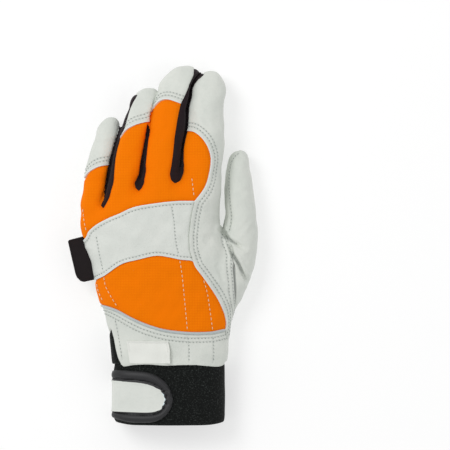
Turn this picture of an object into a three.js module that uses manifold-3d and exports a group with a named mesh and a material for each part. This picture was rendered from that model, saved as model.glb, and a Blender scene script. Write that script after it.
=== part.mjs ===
// A work glove for chainsaw use, left hand, lying palm down with its back up.
// Millimetres. +X to the thumb side, +Y to the fingertips, +Z up from the surface that it lies on.
// The glove is a thin shell: a hand, four fingers and a thumb, each hollow, cut into the leather,
// panel and strip pieces that a glover sews together. The cuff is an open tube below it.

import * as THREE from 'three';
import Module from 'manifold-3d';
import { mergeVertices } from 'three/addons/utils/BufferGeometryUtils.js';

const wasm = await Module();
wasm.setup();

// Driving dimensions
const cuffLength = 43.4;
const cuffWidth = 80;
const cuffDepth = 36;
const cuffWall = 2.6;
const cuffTuck = 7;
const handLength = 126;
const palmWidth = 100;
const fingerLength = 90;
const knuckleHeight = 44;
const leatherWall = 2;
const padRise = 1;
const bandRise = 0.5;
const pipingRise = 1;
const pipingWidth = 2.2;
const seamGap = 0.3;
const fingerGap = 0.6;
const thumbLength = 122;
const thumbSpread = 3;
const thumbWidth = 22;
const thumbDepth = 28;
const thumbStart = 33;
const strapRise = 2.2;
const strapBinding = 6;
const bindingRise = 3;
const strapHem = 2.1;
const strapShoulder = 5;
const strapReach = 3.2;
const strapFoot = 5;
const labelThickness = 1.1;
const tabLength = 32;
const tabWidth = 12;
const tabRoot = 7;
const wovenLength = 30;
const wovenHeight = 15;
const stripRoot = 9;
const stripTip = 6;
const rootCut = 2;
const clearance = 20;

// Fingers. length is a share of fingerLength, width and root_across of palmWidth, root_along of
// handLength, depth, tip_height and root_height of knuckleHeight. lean and bend are shares of the
// finger's own length, taper is the tip's width as a share of the root's.
const FINGER_SHARES = {
  little: {
    length: 0.708, width: 0.188, depth: 0.466, tip_height: 0.239, root_height: 0.5,
    root_across: -0.545, root_along: 0.916, lean: 0.166, bend: 0.041, taper: 1,
  },
  ring: {
    length: 0.904, width: 0.238, depth: 0.534, tip_height: 0.261, root_height: 0.591,
    root_across: -0.344, root_along: 0.944, lean: 0.139, bend: 0.118, taper: 1,
  },
  middle: {
    length: 1, width: 0.274, depth: 0.557, tip_height: 0.273, root_height: 0.636,
    root_across: -0.076, root_along: 1, lean: 0, bend: 0.224, taper: 1,
  },
  index: {
    length: 0.956, width: 0.322, depth: 0.568, tip_height: 0.284, root_height: 0.636,
    root_across: 0.211, root_along: 1, lean: 0.087, bend: 0, taper: 0.85,
  },
};
const FINGERS = Object.fromEntries(Object.entries(FINGER_SHARES).map(([name, finger]) => [name, {
  ...finger,
  length: finger.length * fingerLength,
  width: finger.width * palmWidth,
  depth: finger.depth * knuckleHeight,
  tip_height: finger.tip_height * knuckleHeight,
  root_height: finger.root_height * knuckleHeight,
}]));

// Gaps between neighbouring fingers. front is how near the gap lies to the far finger's own edge,
// web the gap's start in shares of handLength, strip the black side strip's half width in mm at the
// web and bulb its half width at the finger's root.
const GAPS = [
  { name: 'little_ring', near: 'little', far: 'ring', front: 1, web: 0.985, strip: 3.2, bulb: 2.9 },
  { name: 'ring_middle', near: 'ring', far: 'middle', front: 1, web: 1.075, strip: 2.9, bulb: 3.2 },
  { name: 'middle_index', near: 'middle', far: 'index', front: 1, web: 1.125, strip: 4, bulb: 3.4 },
];

// Hand sections from the leather's edge to past the knuckles. along is a share of handLength, spread
// runs from the cuff's size at 0 to the palm's at 1, shift is a share of palmWidth, lift and top are
// shares of knuckleHeight, slope is the section's rise toward the thumb side.
const HAND = [
  { along: 0, spread: 0.04, shift: 0.005, lift: 0, top: 0.82, slope: 0 },
  { along: 0.2, spread: 0.3, shift: 0.005, lift: 0, top: 0.83, slope: 0 },
  { along: 0.38, spread: 0.5, shift: -0.054, lift: 0.01, top: 0.87, slope: 0.02 },
  { along: 0.55, spread: 0.64, shift: -0.081, lift: 0.03, top: 0.92, slope: 0.07 },
  { along: 0.72, spread: 0.82, shift: -0.112, lift: 0.06, top: 0.97, slope: 0.16 },
  { along: 0.86, spread: 0.94, shift: -0.128, lift: 0.1, top: 1, slope: 0.26 },
  { along: 0.96, spread: 0.96, shift: -0.132, lift: 0.17, top: 0.98, slope: 0.32 },
  { along: 1.04, spread: 0.84, shift: -0.132, lift: 0.27, top: 0.92, slope: 0.32 },
];

// Thumb sections from the wrist side to the tip. along is a share of thumbLength, across of
// thumbReach, width of thumbWidth, depth of thumbDepth.
const thumbReach = palmWidth / 2 + thumbSpread;
const THUMB = [
  { along: -0.12, across: 0.47, width: 1.5, depth: 0.8 },
  { along: 0.04, across: 0.575, width: 1.58, depth: 0.98 },
  { along: 0.16, across: 0.69, width: 1.62, depth: 1.06 },
  { along: 0.28, across: 0.815, width: 1.55, depth: 1.07 },
  { along: 0.4, across: 0.915, width: 1.37, depth: 1.04 },
  { along: 0.52, across: 0.955, width: 1.21, depth: 1 },
  { along: 0.62, across: 0.965, width: 1.04, depth: 0.96 },
  { along: 0.75, across: 0.955, width: 0.97, depth: 0.92 },
  { along: 0.84, across: 0.945, width: 0.91, depth: 0.88 },
];

// Outlines of the back pieces, across as a share of palmWidth and along as a share of handLength,
// counted from the leather's edge. The first rows of each run from the little-finger side.
const BAND_TOP = [
  { across: -0.75, along: 0.66 },
  { across: -0.605, along: 0.72 },
  { across: -0.51, along: 0.8 },
  { across: -0.353, along: 0.865 },
  { across: -0.209, along: 0.905 },
  { across: -0.03, along: 0.928 },
  { across: 0.194, along: 0.936 },
];
const BAND_END = [
  { across: 0.166, along: 0.856 },
  { across: 0.144, along: 0.741 },
  { across: 0.15, along: 0.655 },
];
const BAND_BOTTOM = [
  { across: 0.173, along: 0.588 },
  { across: 0.079, along: 0.604 },
  { across: -0.06, along: 0.624 },
  { across: -0.209, along: 0.604 },
  { across: -0.338, along: 0.576 },
  { across: -0.454, along: 0.517 },
  { across: -0.526, along: 0.486 },
  { across: -0.75, along: 0.44 },
];
const PANEL_SIDE = [
  { across: 0.238, along: 0.514 },
  { across: 0.331, along: 0.407 },
  { across: 0.394, along: 0.3 },
  { across: 0.405, along: 0.198 },
];
const PANEL_BOTTOM = [
  { across: 0.317, along: 0.184 },
  { across: 0.115, along: 0.184 },
  { across: -0.029, along: 0.196 },
  { across: -0.209, along: 0.245 },
  { across: -0.367, along: 0.307 },
  { across: -0.461, along: 0.332 },
  { across: -0.7, along: 0.38 },
];

// Where the upper panel ends on each finger, in shares of the finger's length at its near side, its
// middle and its far side.
const CAP_EDGE = {
  little: { near: 0.27, middle: 0.42, far: 0.47 },
  ring: { near: 0.52, middle: 0.655, far: 0.7 },
  middle: { near: 0.55, middle: 0.72, far: 0.66 },
};

// The upper panel on the index finger, along its length and across its width.
const INDEX_LOBE = [
  { along: -0.2, across: 0.1 },
  { along: -0.09, across: 0.02 },
  { along: 0.02, across: 0.12 },
  { along: 0.125, across: 0.17 },
  { along: 0.25, across: 0.18 },
  { along: 0.335, across: 0.12 },
  { along: 0.42, across: -0.05 },
  { along: 0.48, across: -0.27 },
  { along: 0.5, across: -0.7 },
];

// The thumb's inset seam: on the back it runs down the thumb's root, on the palm it is a wide oval.
const THUMB_SEAM_BACK = [
  { across: 0.38, along: 0.8 },
  { across: 0.43, along: 0.62 },
  { across: 0.44, along: 0.43 },
  { across: 0.46, along: 0.28 },
  { across: 0.6, along: 0.2 },
  { across: 0.9, along: 0.2 },
  { across: 0.9, along: 1.27 },
  { across: 0.44, along: 1.27 },
  { across: 0.395, along: 1.1 },
  { across: 0.386, along: 0.9 },
];
const THUMB_SEAM_PALM = [
  { across: 0.9, along: 0.62 },
  { across: 0.3, along: 0.68 },
  { across: 0.06, along: 0.66 },
  { across: -0.12, along: 0.58 },
  { across: -0.22, along: 0.44 },
  { across: -0.2, along: 0.31 },
  { across: -0.06, along: 0.22 },
  { across: 0.13, along: 0.2 },
  { across: 0.33, along: 0.27 },
  { across: 0.6, along: 0.36 },
  { across: 0.9, along: 0.4 },
];

// How high up the thumb its palm side seam runs, as a share of thumbDepth.
const THUMB_SEAM_HEIGHT = 0.45;

// The far side of the upper panel's hand part, under the fingers.
const KNUCKLE_BASE = [
  { across: 0.2, along: 1.02 },
  { across: -0.4, along: 1.02 },
  { across: -0.75, along: 0.95 },
];

// How steeply the finger roots' cut falls to the two sides of the hand.
const ROOT_FALL = { little: 0.25, index: 0.2 };

// The black stretch wedge in the little-finger side of the wrist.
const WEDGE = [
  { across: -0.8, along: -0.1 },
  { across: -0.29, along: -0.1 },
  { across: -0.355, along: 0.006 },
  { across: -0.39, along: 0.088 },
  { across: -0.41, along: 0.16 },
  { across: -0.425, along: 0.2 },
  { across: -0.8, along: 0.2 },
];

// Lower corners of the wrist leather, near the cuff.
const WRIST_CORNERS = [
  { across: -0.7, along: -0.1 },
  { across: 0.43, along: -0.1 },
  { across: 0.42, along: 0.1 },
];

// The side tab's corners. out is a share of tabWidth, down of tabLength.
const TAB = [
  { out: 1, down: 0 },
  { out: 1.06, down: 0.82 },
  { out: 0.73, down: 1 },
];
const TAB_PLACE = { across: -0.614, along: 0.734 };
const WOVEN_PLACE = { across: -0.3, along: 0.14 };

// Rounding of the finger and thumb tips: angles in degrees from where the rounding starts. The
// rounding is a share of the finger's width long, and its sections shrink by a power of the cosine.
const TIP = { outer: [28, 52, 72, 86], inner: [40, 80], round: 0.62, power: 0.92 };

const MATERIALS = {
  leather: { color: 0xd6dad3, roughness: 0.62 },
  white: { color: 0xe2e5e0, roughness: 0.7 },
  orange: { color: 0xf07d05, roughness: 0.8 },
  strip: { color: 0x241d1f, roughness: 0.85 },
  neoprene: { color: 0x1f2120, roughness: 0.95 },
  binding: { color: 0x3a3a3a, roughness: 0.8 },
  piping: { color: 0xcfd6d6, roughness: 0.4 },
};

const mix = THREE.MathUtils.lerp;
const smooth = THREE.MathUtils.smoothstep;

function toSolid(geometry) {
  const bare = geometry.clone();
  bare.deleteAttribute('normal');
  bare.deleteAttribute('uv');
  const merged = mergeVertices(bare, 1e-4);
  return new wasm.Manifold(new wasm.Mesh({
    numProp: 3,
    vertProperties: new Float32Array(merged.attributes.position.array),
    triVerts: new Uint32Array(merged.index.array),
  }));
}

function toGeometry(solid) {
  const mesh = solid.getMesh();
  const geometry = new THREE.BufferGeometry();
  geometry.setAttribute('position', new THREE.BufferAttribute(new Float32Array(mesh.vertProperties), 3));
  geometry.setIndex(new THREE.BufferAttribute(new Uint32Array(mesh.triVerts), 1));
  geometry.computeVertexNormals();
  return geometry;
}

// A closed skin over a row of rings that all have the same number of points.
function loft(rings) {
  const sides = rings[0].length;
  const points = rings.flat();
  const faces = [];
  for (let row = 0; row + 1 < rings.length; row += 1) {
    for (let side = 0; side < sides; side += 1) {
      const a = row * sides + side;
      const b = row * sides + ((side + 1) % sides);
      faces.push(a, b, b + sides, a, b + sides, a + sides);
    }
  }
  const last = (rings.length - 1) * sides;
  for (let side = 1; side + 1 < sides; side += 1) {
    faces.push(0, side + 1, side);
    faces.push(last, last + side, last + side + 1);
  }
  const geometry = new THREE.BufferGeometry();
  geometry.setAttribute('position', new THREE.Float32BufferAttribute(points.flatMap((p) => p.toArray()), 3));
  geometry.setIndex(faces);
  return toSolid(geometry);
}

const HAND_SIDES = 26;
const FINGER_SIDES = 16;

// A rounded section that stands across Y, with a flatter underside.
function section({ x, y, low, high, halfWidth, slope, sides }) {
  const ring = [];
  for (let side = 0; side < sides; side += 1) {
    const angle = (2 * Math.PI * (side + 0.5)) / sides - Math.PI / 2;
    const power = Math.sin(angle) < 0 ? 2 / 3 : 2 / 2.3;
    const across = Math.sign(Math.cos(angle)) * Math.abs(Math.cos(angle)) ** power * halfWidth;
    const up = Math.sign(Math.sin(angle)) * Math.abs(Math.sin(angle)) ** power;
    const waist = mix(low, high, 0.45);
    const rise = up < 0 ? up * (waist - low) : up * (high - waist);
    ring.push(new THREE.Vector3(x + across, y + slope * across, waist + rise));
  }
  return ring.reverse();
}

const onHand = ({ across, along }) => new THREE.Vector2(across * palmWidth, cuffLength + along * handLength);

function handSection(row, grow, sides) {
  return section({
    x: row.shift * palmWidth,
    y: cuffLength + row.along * handLength,
    low: row.lift * knuckleHeight - grow,
    high: mix(cuffDepth, knuckleHeight, (row.top - HAND[0].top) / (1 - HAND[0].top)) + grow,
    halfWidth: mix(cuffWidth, palmWidth, row.spread) / 2 + grow,
    slope: row.slope,
    sides,
  });
}

function hand(grow, overrun) {
  const sides = grow < 0 ? HAND_SIDES - 10 : HAND_SIDES;
  const rings = HAND.map((row) => handSection(row, grow, sides));
  const end = HAND[HAND.length - 1];
  const move = (ring, distance) => ring.map((p) => new THREE.Vector3(p.x, p.y + distance, p.z));
  if (grow < 0) {
    rings[rings.length - 1] = move(rings[rings.length - 1], grow);
  } else {
    const close = { ...end, spread: end.spread - 0.8, lift: end.lift + 0.1, top: end.top - 0.1 };
    rings.push(move(handSection(close, grow, sides), leatherWall));
  }
  if (overrun > 0) rings.unshift(move(rings[0], -overrun));
  return loft(rings);
}

function fingerPoint(finger, t) {
  const rootX = finger.root_across * palmWidth;
  const rootY = cuffLength + finger.root_along * handLength;
  const held = Math.max(t, 0);
  return new THREE.Vector3(
    rootX + finger.length * (finger.lean * t + finger.bend * t * Math.abs(t)),
    rootY + finger.length * t,
    mix(finger.root_height, finger.tip_height, held ** 1.7),
  );
}

// A finger's sections stand across its own line.
function fingerSlope(finger, t) {
  return -(finger.lean + 2 * finger.bend * Math.abs(t));
}

function fingerSize(finger, t) {
  return {
    halfWidth: (finger.width / 2) * mix(1, finger.taper, THREE.MathUtils.clamp(t, 0, 1)),
    halfDepth: (finger.depth / 2) * mix(1.06, 0.88, THREE.MathUtils.clamp(t, 0, 1)),
  };
}

// The half width of a finger's outline, its rounded tip included, as a share of its full half width.
function tipScale(finger, t) {
  const tip = (TIP.round * finger.width) / finger.length;
  const into = THREE.MathUtils.clamp((t - 1 + tip) / tip, 0, 1);
  return Math.cos(Math.asin(into)) ** TIP.power;
}

// A finger: straight stations from inside the hand, then a rounded tip.
function fingerSolid(finger, grow) {
  const sides = grow < 0 ? FINGER_SIDES - 4 : FINGER_SIDES;
  const tip = (TIP.round * finger.width) / finger.length;
  const straight = grow < 0 ? [0.08, 0.4, 1 - tip] : [0.08, 0.26, 0.44, 0.62, 1 - tip];
  const rows = [{ t: -0.3, scale: 0.7 }, { t: -0.12, scale: 0.94 }, ...straight.map((t) => ({ t, scale: 1 }))];
  for (const angle of grow < 0 ? TIP.inner : TIP.outer) {
    const a = THREE.MathUtils.degToRad(angle);
    rows.push({ t: 1 - tip + tip * Math.sin(a), scale: Math.cos(a) ** TIP.power });
  }
  const reach = finger.length + grow;
  const rings = rows.map(({ t, scale }) => {
    const along = t > 0 ? (t * reach) / finger.length : t;
    const p = fingerPoint(finger, along);
    const size = fingerSize(finger, along);
    const halfDepth = (size.halfDepth + grow) * scale;
    const halfWidth = (size.halfWidth + grow) * scale;
    return section({
      x: p.x, y: p.y, low: p.z - 0.9 * halfDepth, high: p.z + 1.1 * halfDepth, halfWidth,
      slope: fingerSlope(finger, along), sides,
    });
  });
  return loft(rings);
}

function thumb(grow) {
  const sides = grow < 0 ? FINGER_SIDES - 4 : FINGER_SIDES;
  const place = (row, scale) => section({
    x: row.across * thumbReach,
    y: cuffLength + thumbStart + row.along * thumbLength,
    low: (thumbDepth * (row.depth - row.depth * scale)) / 2 - grow * scale,
    high: (thumbDepth * (row.depth + row.depth * scale)) / 2 + grow * scale,
    halfWidth: ((thumbWidth * row.width) / 2 + grow) * scale,
    slope: 0,
    sides,
  });
  const rings = THUMB.map((row) => place(row, 1));
  const last = THUMB[THUMB.length - 1];
  const tip = 1 - last.along + grow / thumbLength;
  for (const angle of TIP.outer) {
    const a = THREE.MathUtils.degToRad(angle);
    rings.push(place({ ...last, along: last.along + tip * Math.sin(a) }, Math.cos(a) ** TIP.power));
  }
  return loft(rings);
}

function spline(points, count) {
  return new THREE.SplineCurve(points).getPoints(count);
}

// Moves each side of a closed plan outline outward by a distance.
function offset(points, distance) {
  const turn = Math.sign(THREE.ShapeUtils.area(points));
  return points.map((point, index) => {
    const before = points[(index + points.length - 1) % points.length];
    const after = points[(index + 1) % points.length];
    const edgeIn = point.clone().sub(before).normalize();
    const edgeOut = after.clone().sub(point).normalize();
    const normalIn = new THREE.Vector2(edgeIn.y, -edgeIn.x).multiplyScalar(turn);
    const normalOut = new THREE.Vector2(edgeOut.y, -edgeOut.x).multiplyScalar(turn);
    const miter = normalIn.clone().add(normalOut).normalize();
    const stretch = Math.min(1 / Math.max(miter.dot(normalIn), 0.2), 3);
    return point.clone().addScaledVector(miter, distance * stretch);
  });
}

function prism(points, low, high) {
  const geometry = new THREE.ExtrudeGeometry(new THREE.Shape(points), {
    depth: high - low, bevelEnabled: false, steps: 1,
  });
  geometry.translate(0, 0, low);
  return toSolid(geometry);
}

const STRIP_STEPS = 6;
const FLOOR = -clearance;
const CEILING = knuckleHeight + clearance;
const tall = (outline, grow) => prism(offset(outline, grow), FLOOR, CEILING);

const alongFinger = (finger, y) => (y - cuffLength - finger.root_along * handLength) / finger.length;

// Where a finger's outline in plan crosses a place along the glove. side is -1 or 1 for its two edges.
function fingerEdge(finger, y, side) {
  let t = alongFinger(finger, y);
  let halfWidth = 0;
  for (let round = 0; round < 6; round += 1) {
    halfWidth = fingerSize(finger, t).halfWidth * tipScale(finger, t);
    t = mix(t, alongFinger(finger, y - side * fingerSlope(finger, t) * halfWidth), 0.7);
  }
  return fingerPoint(finger, t).x + side * halfWidth;
}

// Plan line between two neighbouring fingers, from the web to past the shorter tip.
function gapAt(gap, y) {
  const nearEdge = fingerEdge(FINGERS[gap.near], y, 1);
  const farEdge = fingerEdge(FINGERS[gap.far], y, -1);
  const reach = smooth(alongFinger(FINGERS[gap.near], y), 0, 0.7);
  return mix(nearEdge, farEdge, mix(0.5, gap.front, reach));
}

const tipY = (name) => fingerPoint(FINGERS[name], 1).y;
const webY = (gap) => cuffLength + gap.web * handLength;

function gapLine(gap, from, to, count) {
  const points = [];
  for (let step = 0; step <= count; step += 1) {
    const y = mix(from, to, step / count);
    points.push(new THREE.Vector2(gapAt(gap, y), y));
  }
  return points;
}

// A ribbon in plan round a line, with a half width that may change along it.
function ribbon(line, halfWidthAt) {
  const last = line.length - 1;
  const side = (turn) => line.map((point, index) => {
    const along = line[Math.min(index + 1, last)].clone().sub(line[Math.max(index - 1, 0)]).normalize();
    const across = new THREE.Vector2(along.y, -along.x);
    return point.clone().addScaledVector(across, turn * halfWidthAt(index / last));
  });
  return [...side(1), ...side(-1).reverse()];
}

function slit(gap, halfWidth, drop) {
  const end = Math.min(tipY(gap.near), tipY(gap.far)) + 1;
  const line = gapLine(gap, webY(gap) - drop, end, STRIP_STEPS);
  if (tipY(gap.far) < tipY(gap.near)) {
    const far = FINGERS[gap.far];
    const tip = (TIP.round * far.width) / far.length;
    line.length -= 1;
    for (const angle of [...TIP.outer, 90]) {
      const y = fingerPoint(far, 1 - tip + tip * Math.sin(THREE.MathUtils.degToRad(angle))).y;
      line.push(new THREE.Vector2(gapAt(gap, y), y));
    }
    line.sort((a, b) => a.y - b.y);
    line.push(line[line.length - 1].clone().add(new THREE.Vector2(far.width / 2, 0)));
  }
  return tall(ribbon(line, () => halfWidth), 0);
}

function sideStrip(gap, grow) {
  const end = Math.min(tipY(gap.near), tipY(gap.far)) - stripTip;
  const start = webY(gap) - stripRoot;
  const width = (share) => {
    const rounding = Math.min(1, 0.55 + share * 6);
    return mix(mix(gap.bulb, gap.strip, smooth(share, 0, 0.3)), 1.6, smooth(share, 0.35, 1)) * rounding;
  };
  return tall(ribbon(gapLine(gap, start, end, STRIP_STEPS), width), grow);
}

// Height of the seam between the back and the palm side, along the hand.
function handSeam(row) {
  return mix(row.lift * knuckleHeight, mix(cuffDepth, knuckleHeight, row.top), 0.36);
}

const fingerNames = Object.keys(FINGERS);

function fingerSides(name, y) {
  const index = fingerNames.indexOf(name);
  const finger = FINGERS[name];
  const t = alongFinger(finger, y);
  const centre = fingerPoint(finger, t).x;
  const held = (gap) => {
    if (!gap) return false;
    const end = Math.min(tipY(gap.near), tipY(gap.far));
    return end === tipY(name) || y < end + 0.5;
  };
  const left = held(GAPS[index - 1]) ? gapAt(GAPS[index - 1], y) : centre - finger.width;
  const right = held(GAPS[index]) ? gapAt(GAPS[index], y) : centre + finger.width;
  return { left, right };
}

// Everything of one finger above a height. It widens past the tips of its shorter neighbours.
function fingerZone(name, lowAt) {
  const finger = FINGERS[name];
  const last = 1 + (2 * seamGap) / finger.length;
  const rows = [-0.12, 0, 0.15, 0.3, 0.5, 0.7, 0.85, last].map((t) => fingerPoint(finger, t).y);
  for (const gap of GAPS.filter(({ near, far }) => [near, far].includes(name))) {
    const end = Math.min(tipY(gap.near), tipY(gap.far));
    if (end < tipY(name)) rows.push(end + 0.4, end + 0.9);
  }
  rows.sort((a, b) => a - b);
  const rings = rows.map((y) => {
    const t = alongFinger(finger, y);
    const { left, right } = fingerSides(name, y);
    const low = lowAt(finger, t);
    return [
      new THREE.Vector3(left, y, low),
      new THREE.Vector3(left, y, CEILING),
      new THREE.Vector3(right, y, CEILING),
      new THREE.Vector3(right, y, low),
    ];
  });
  return loft(rings);
}

// Everything above the side seam of one finger.
function fingerBack(name, grow) {
  const base = handSeam(HAND[5]);
  return fingerZone(name, (finger, t) => {
    return mix(base, fingerPoint(finger, t).z, smooth(t, -0.12, 0.35)) - grow;
  });
}

// Everything above the side seam of the hand.
function handBack(grow) {
  const rows = HAND.slice(0, 7);
  const rings = rows.map((row, index) => {
    const y = cuffLength + row.along * handLength - (index === 0 ? cuffLength : 0);
    const x = row.shift * palmWidth;
    const reach = palmWidth;
    const low = handSeam(row) - grow;
    const left = new THREE.Vector2(x - reach, y - row.slope * reach * 0.5);
    const right = new THREE.Vector2(x + reach, y + row.slope * reach * 0.5);
    return [
      new THREE.Vector3(left.x, left.y, low),
      new THREE.Vector3(left.x, left.y, CEILING),
      new THREE.Vector3(right.x, right.y, CEILING),
      new THREE.Vector3(right.x, right.y, low),
    ];
  });
  return loft(rings);
}

const join = (solids) => solids.reduce((all, solid) => all.add(solid));

function backHalf(grow) {
  return join([handBack(grow), ...fingerNames.map((name) => fingerBack(name, grow))]);
}

// Splits a shell with a cutter that can grow: the piece and the rest keep a seam's gap.
function take(state, cutter, source) {
  const piece = (source ?? state.rest).intersect(cutter(-seamGap / 2));
  state.rest = state.rest.subtract(cutter(seamGap / 2));
  return mainBody(piece);
}

// The largest body of a cut: loose crumbs at its corners are swept away.
function mainBody(solid) {
  return solid.decompose().reduce((best, body) => (body.volume() > best.volume() ? body : best));
}

// The skin of the whole glove above the cuff, and what is hollow in it.
function outside(grow) {
  const body = join([hand(grow, 0), thumb(grow), ...Object.values(FINGERS).map((f) => fingerSolid(f, grow))]);
  return GAPS.reduce((solid, gap) => solid.subtract(slit(gap, fingerGap / 2, 0)), body);
}

function hollow() {
  const wall = leatherWall;
  const inner = join([
    hand(-wall, cuffLength), thumb(-wall), ...Object.values(FINGERS).map((f) => fingerSolid(f, -wall)),
  ]);
  return GAPS.reduce((solid, gap) => solid.subtract(slit(gap, fingerGap / 2 + wall, wall)), inner);
}

const inside = hollow();
const skin = outside(0).subtract(inside);
const padded = outside(padRise).subtract(inside);
const raised = outside(bandRise).subtract(inside);
const piped = outside(pipingRise).subtract(inside);
const state = { rest: skin };
const pieces = {};

// Between the fingers, black side strips.
for (const gap of GAPS) {
  pieces[`fourchette_${gap.name}`] = {
    solid: take(state, (grow) => sideStrip(gap, grow)), material: 'strip',
  };
}

const bandTop = spline(BAND_TOP.map(onHand), 10);
const bandEnd = BAND_END.map(onHand);
const bandBottom = spline(BAND_BOTTOM.map(onHand), 10);
const panelSide = spline(PANEL_SIDE.map(onHand), 6);
const panelBottom = spline(PANEL_BOTTOM.map(onHand), 9);
const pipingEdge = panelBottom.map((p) => new THREE.Vector2(p.x, p.y - pipingWidth));

// On the back of the hand, the band first, then the padded panel and its piping.
pieces.knuckle_band = {
  solid: take(state, (grow) => {
    return tall([...bandTop, ...bandEnd, ...bandBottom], grow).intersect(backHalf(grow));
  }, raised),
  material: 'white',
};
pieces.hand_back_panel = {
  solid: take(state, (grow) => {
    return tall([...bandBottom.toReversed(), ...panelSide, ...panelBottom], grow).intersect(handBack(grow));
  }, padded),
  material: 'orange',
};
pieces.wrist_piping = {
  solid: take(state, (grow) => {
    return tall([...panelBottom, ...pipingEdge.toReversed()], grow).intersect(handBack(grow));
  }, piped),
  material: 'piping',
};

// Plan outline of one finger between two places along it.
function fingerPatch(name, from, to) {
  const finger = FINGERS[name];
  const edge = (row) => {
    const at = (t) => fingerPoint(finger, t);
    const near = new THREE.Vector2(fingerSides(name, at(row.near).y).left, at(row.near).y);
    const far = new THREE.Vector2(fingerSides(name, at(row.far).y).right, at(row.far).y);
    const arch = spline([near, new THREE.Vector2(at(row.middle).x, at(row.middle).y), far], 6);
    const out = new THREE.Vector2(finger.width, 0);
    return [near.clone().sub(out), ...arch, far.clone().add(out)];
  };
  return [...edge(from), ...edge(to).reverse()];
}

const past = { near: 1.08, middle: 1.08, far: 1.08 };
const below = { near: -0.22, middle: -0.22, far: -0.22 };
for (const [name, edge] of Object.entries(CAP_EDGE)) {
  const outline = fingerPatch(name, edge, past);
  pieces[`fingertip_${name}`] = {
    solid: take(state, (grow) => tall(outline, grow).intersect(fingerBack(name, grow))),
    material: 'leather',
  };
}

function indexLobe() {
  const finger = FINGERS.index;
  const rows = INDEX_LOBE.map(({ along, across }) => {
    const p = fingerPoint(finger, along);
    return new THREE.Vector2(p.x + across * finger.width, p.y);
  });
  const edge = spline(rows, 11);
  const root = fingerPoint(finger, INDEX_LOBE[0].along);
  return [...edge, new THREE.Vector2(root.x - finger.width, root.y)];
}

pieces.knuckle_panel = {
  solid: take(state, (grow) => {
    const lobes = Object.entries(CAP_EDGE).map(([name, edge]) => {
      return tall(fingerPatch(name, below, edge), grow).intersect(fingerBack(name, grow));
    });
    const lobe = tall(indexLobe(), grow).intersect(fingerBack('index', grow));
    const base = tall([...bandTop, ...KNUCKLE_BASE.map(onHand)], grow).intersect(handBack(grow));
    return join([base, lobe, ...lobes]);
  }),
  material: 'orange',
};
pieces.wrist_gusset = {
  solid: take(state, (grow) => tall(WEDGE.map(onHand), grow)),
  material: 'strip',
};
pieces.wrist_leather = {
  solid: take(state, (grow) => {
    return tall([...pipingEdge, ...WRIST_CORNERS.map(onHand)], grow).intersect(handBack(grow));
  }),
  material: 'leather',
};
pieces.thumb_leather = {
  solid: take(state, (grow) => {
    const back = tall(spline(THUMB_SEAM_BACK.slice(0, 5).map(onHand), 10)
      .concat(THUMB_SEAM_BACK.slice(5).map(onHand)), grow);
    const palm = prism(offset(spline(THUMB_SEAM_PALM.map(onHand), 16), grow), FLOOR, thumbDepth * THUMB_SEAM_HEIGHT);
    return back.add(palm);
  }),
  material: 'leather',
};

// The palm leather is cut at the finger roots, so that each finger is a simple half tube.
function beyondRoots(grow) {
  const webs = GAPS.map((gap) => new THREE.Vector2(gapAt(gap, webY(gap)), webY(gap) + rootCut));
  const outer = webs[0].clone().add(new THREE.Vector2(-palmWidth, -palmWidth * ROOT_FALL.little));
  const inner = webs[webs.length - 1].clone().add(new THREE.Vector2(palmWidth, -palmWidth * ROOT_FALL.index));
  const far = tipY('middle') + clearance;
  const line = [outer, ...webs, inner];
  return tall([...line, new THREE.Vector2(inner.x, far), new THREE.Vector2(outer.x, far)], grow);
}

for (const name of fingerNames) {
  pieces[`finger_leather_${name}`] = {
    solid: mainBody(state.rest.intersect(beyondRoots(-seamGap / 2)).intersect(fingerZone(name, () => FLOOR))),
    material: 'leather',
  };
}
pieces.palm_leather = {
  solid: mainBody(state.rest.subtract(beyondRoots(seamGap / 2))), material: 'leather',
};

// The cuff: an open tube whose upper edge is tucked inside the leather.
function cuffTube(grow, wall) {
  const size = (y, inset) => section({
    x: 0, y, low: inset - grow, high: cuffDepth - inset + grow, halfWidth: cuffWidth / 2 - inset + grow,
    slope: 0, sides: HAND_SIDES,
  });
  const tuckInset = leatherWall + 2 * seamGap;
  const outer = loft([
    size(0, 0.6), size(2, 0), size(cuffLength - seamGap, 0),
    size(cuffLength - seamGap + 0.01, tuckInset), size(cuffLength + cuffTuck, tuckInset),
  ]);
  const inner = loft([size(-5, wall), size(cuffLength * 0.9, wall), size(cuffLength + cuffTuck + 5, wall + 1)]);
  return outer.subtract(inner);
}
pieces.cuff = { solid: cuffTube(0, cuffWall), material: 'neoprene' };

// The strap: a rounded tab laid round the little-finger side of the cuff, with a rolled binding.
const STRAP_END = { sides: 8, squash: 0.9 };
function strapOutline(inset) {
  const low = strapHem + inset;
  const high = cuffLength - strapShoulder - inset;
  const radius = (high - low) / 2;
  const reach = radius * STRAP_END.squash;
  const centre = new THREE.Vector2(strapReach - inset - reach, (low + high) / 2);
  const arc = [];
  for (let step = 0; step <= STRAP_END.sides; step += 1) {
    const angle = Math.PI * (step / STRAP_END.sides - 0.5);
    arc.push(new THREE.Vector2(centre.x + reach * Math.cos(angle), centre.y + radius * Math.sin(angle)));
  }
  return [new THREE.Vector2(-cuffWidth, low), ...arc, new THREE.Vector2(-cuffWidth, high)];
}
function aroundCuff(grow) {
  const size = (y) => section({
    x: 0, y, low: -grow, high: cuffDepth + grow, halfWidth: cuffWidth / 2 + grow, slope: 0, sides: HAND_SIDES,
  });
  return loft([size(-clearance), size(cuffLength + clearance)]);
}
const strapLayer = (rise) => aroundCuff(seamGap + rise).subtract(aroundCuff(seamGap));
const strapCut = (inset) => prism(strapOutline(inset), strapFoot, CEILING);
pieces.strap_leather = {
  solid: mainBody(strapLayer(strapRise).intersect(strapCut(strapBinding + seamGap))),
  material: 'leather',
};
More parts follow.
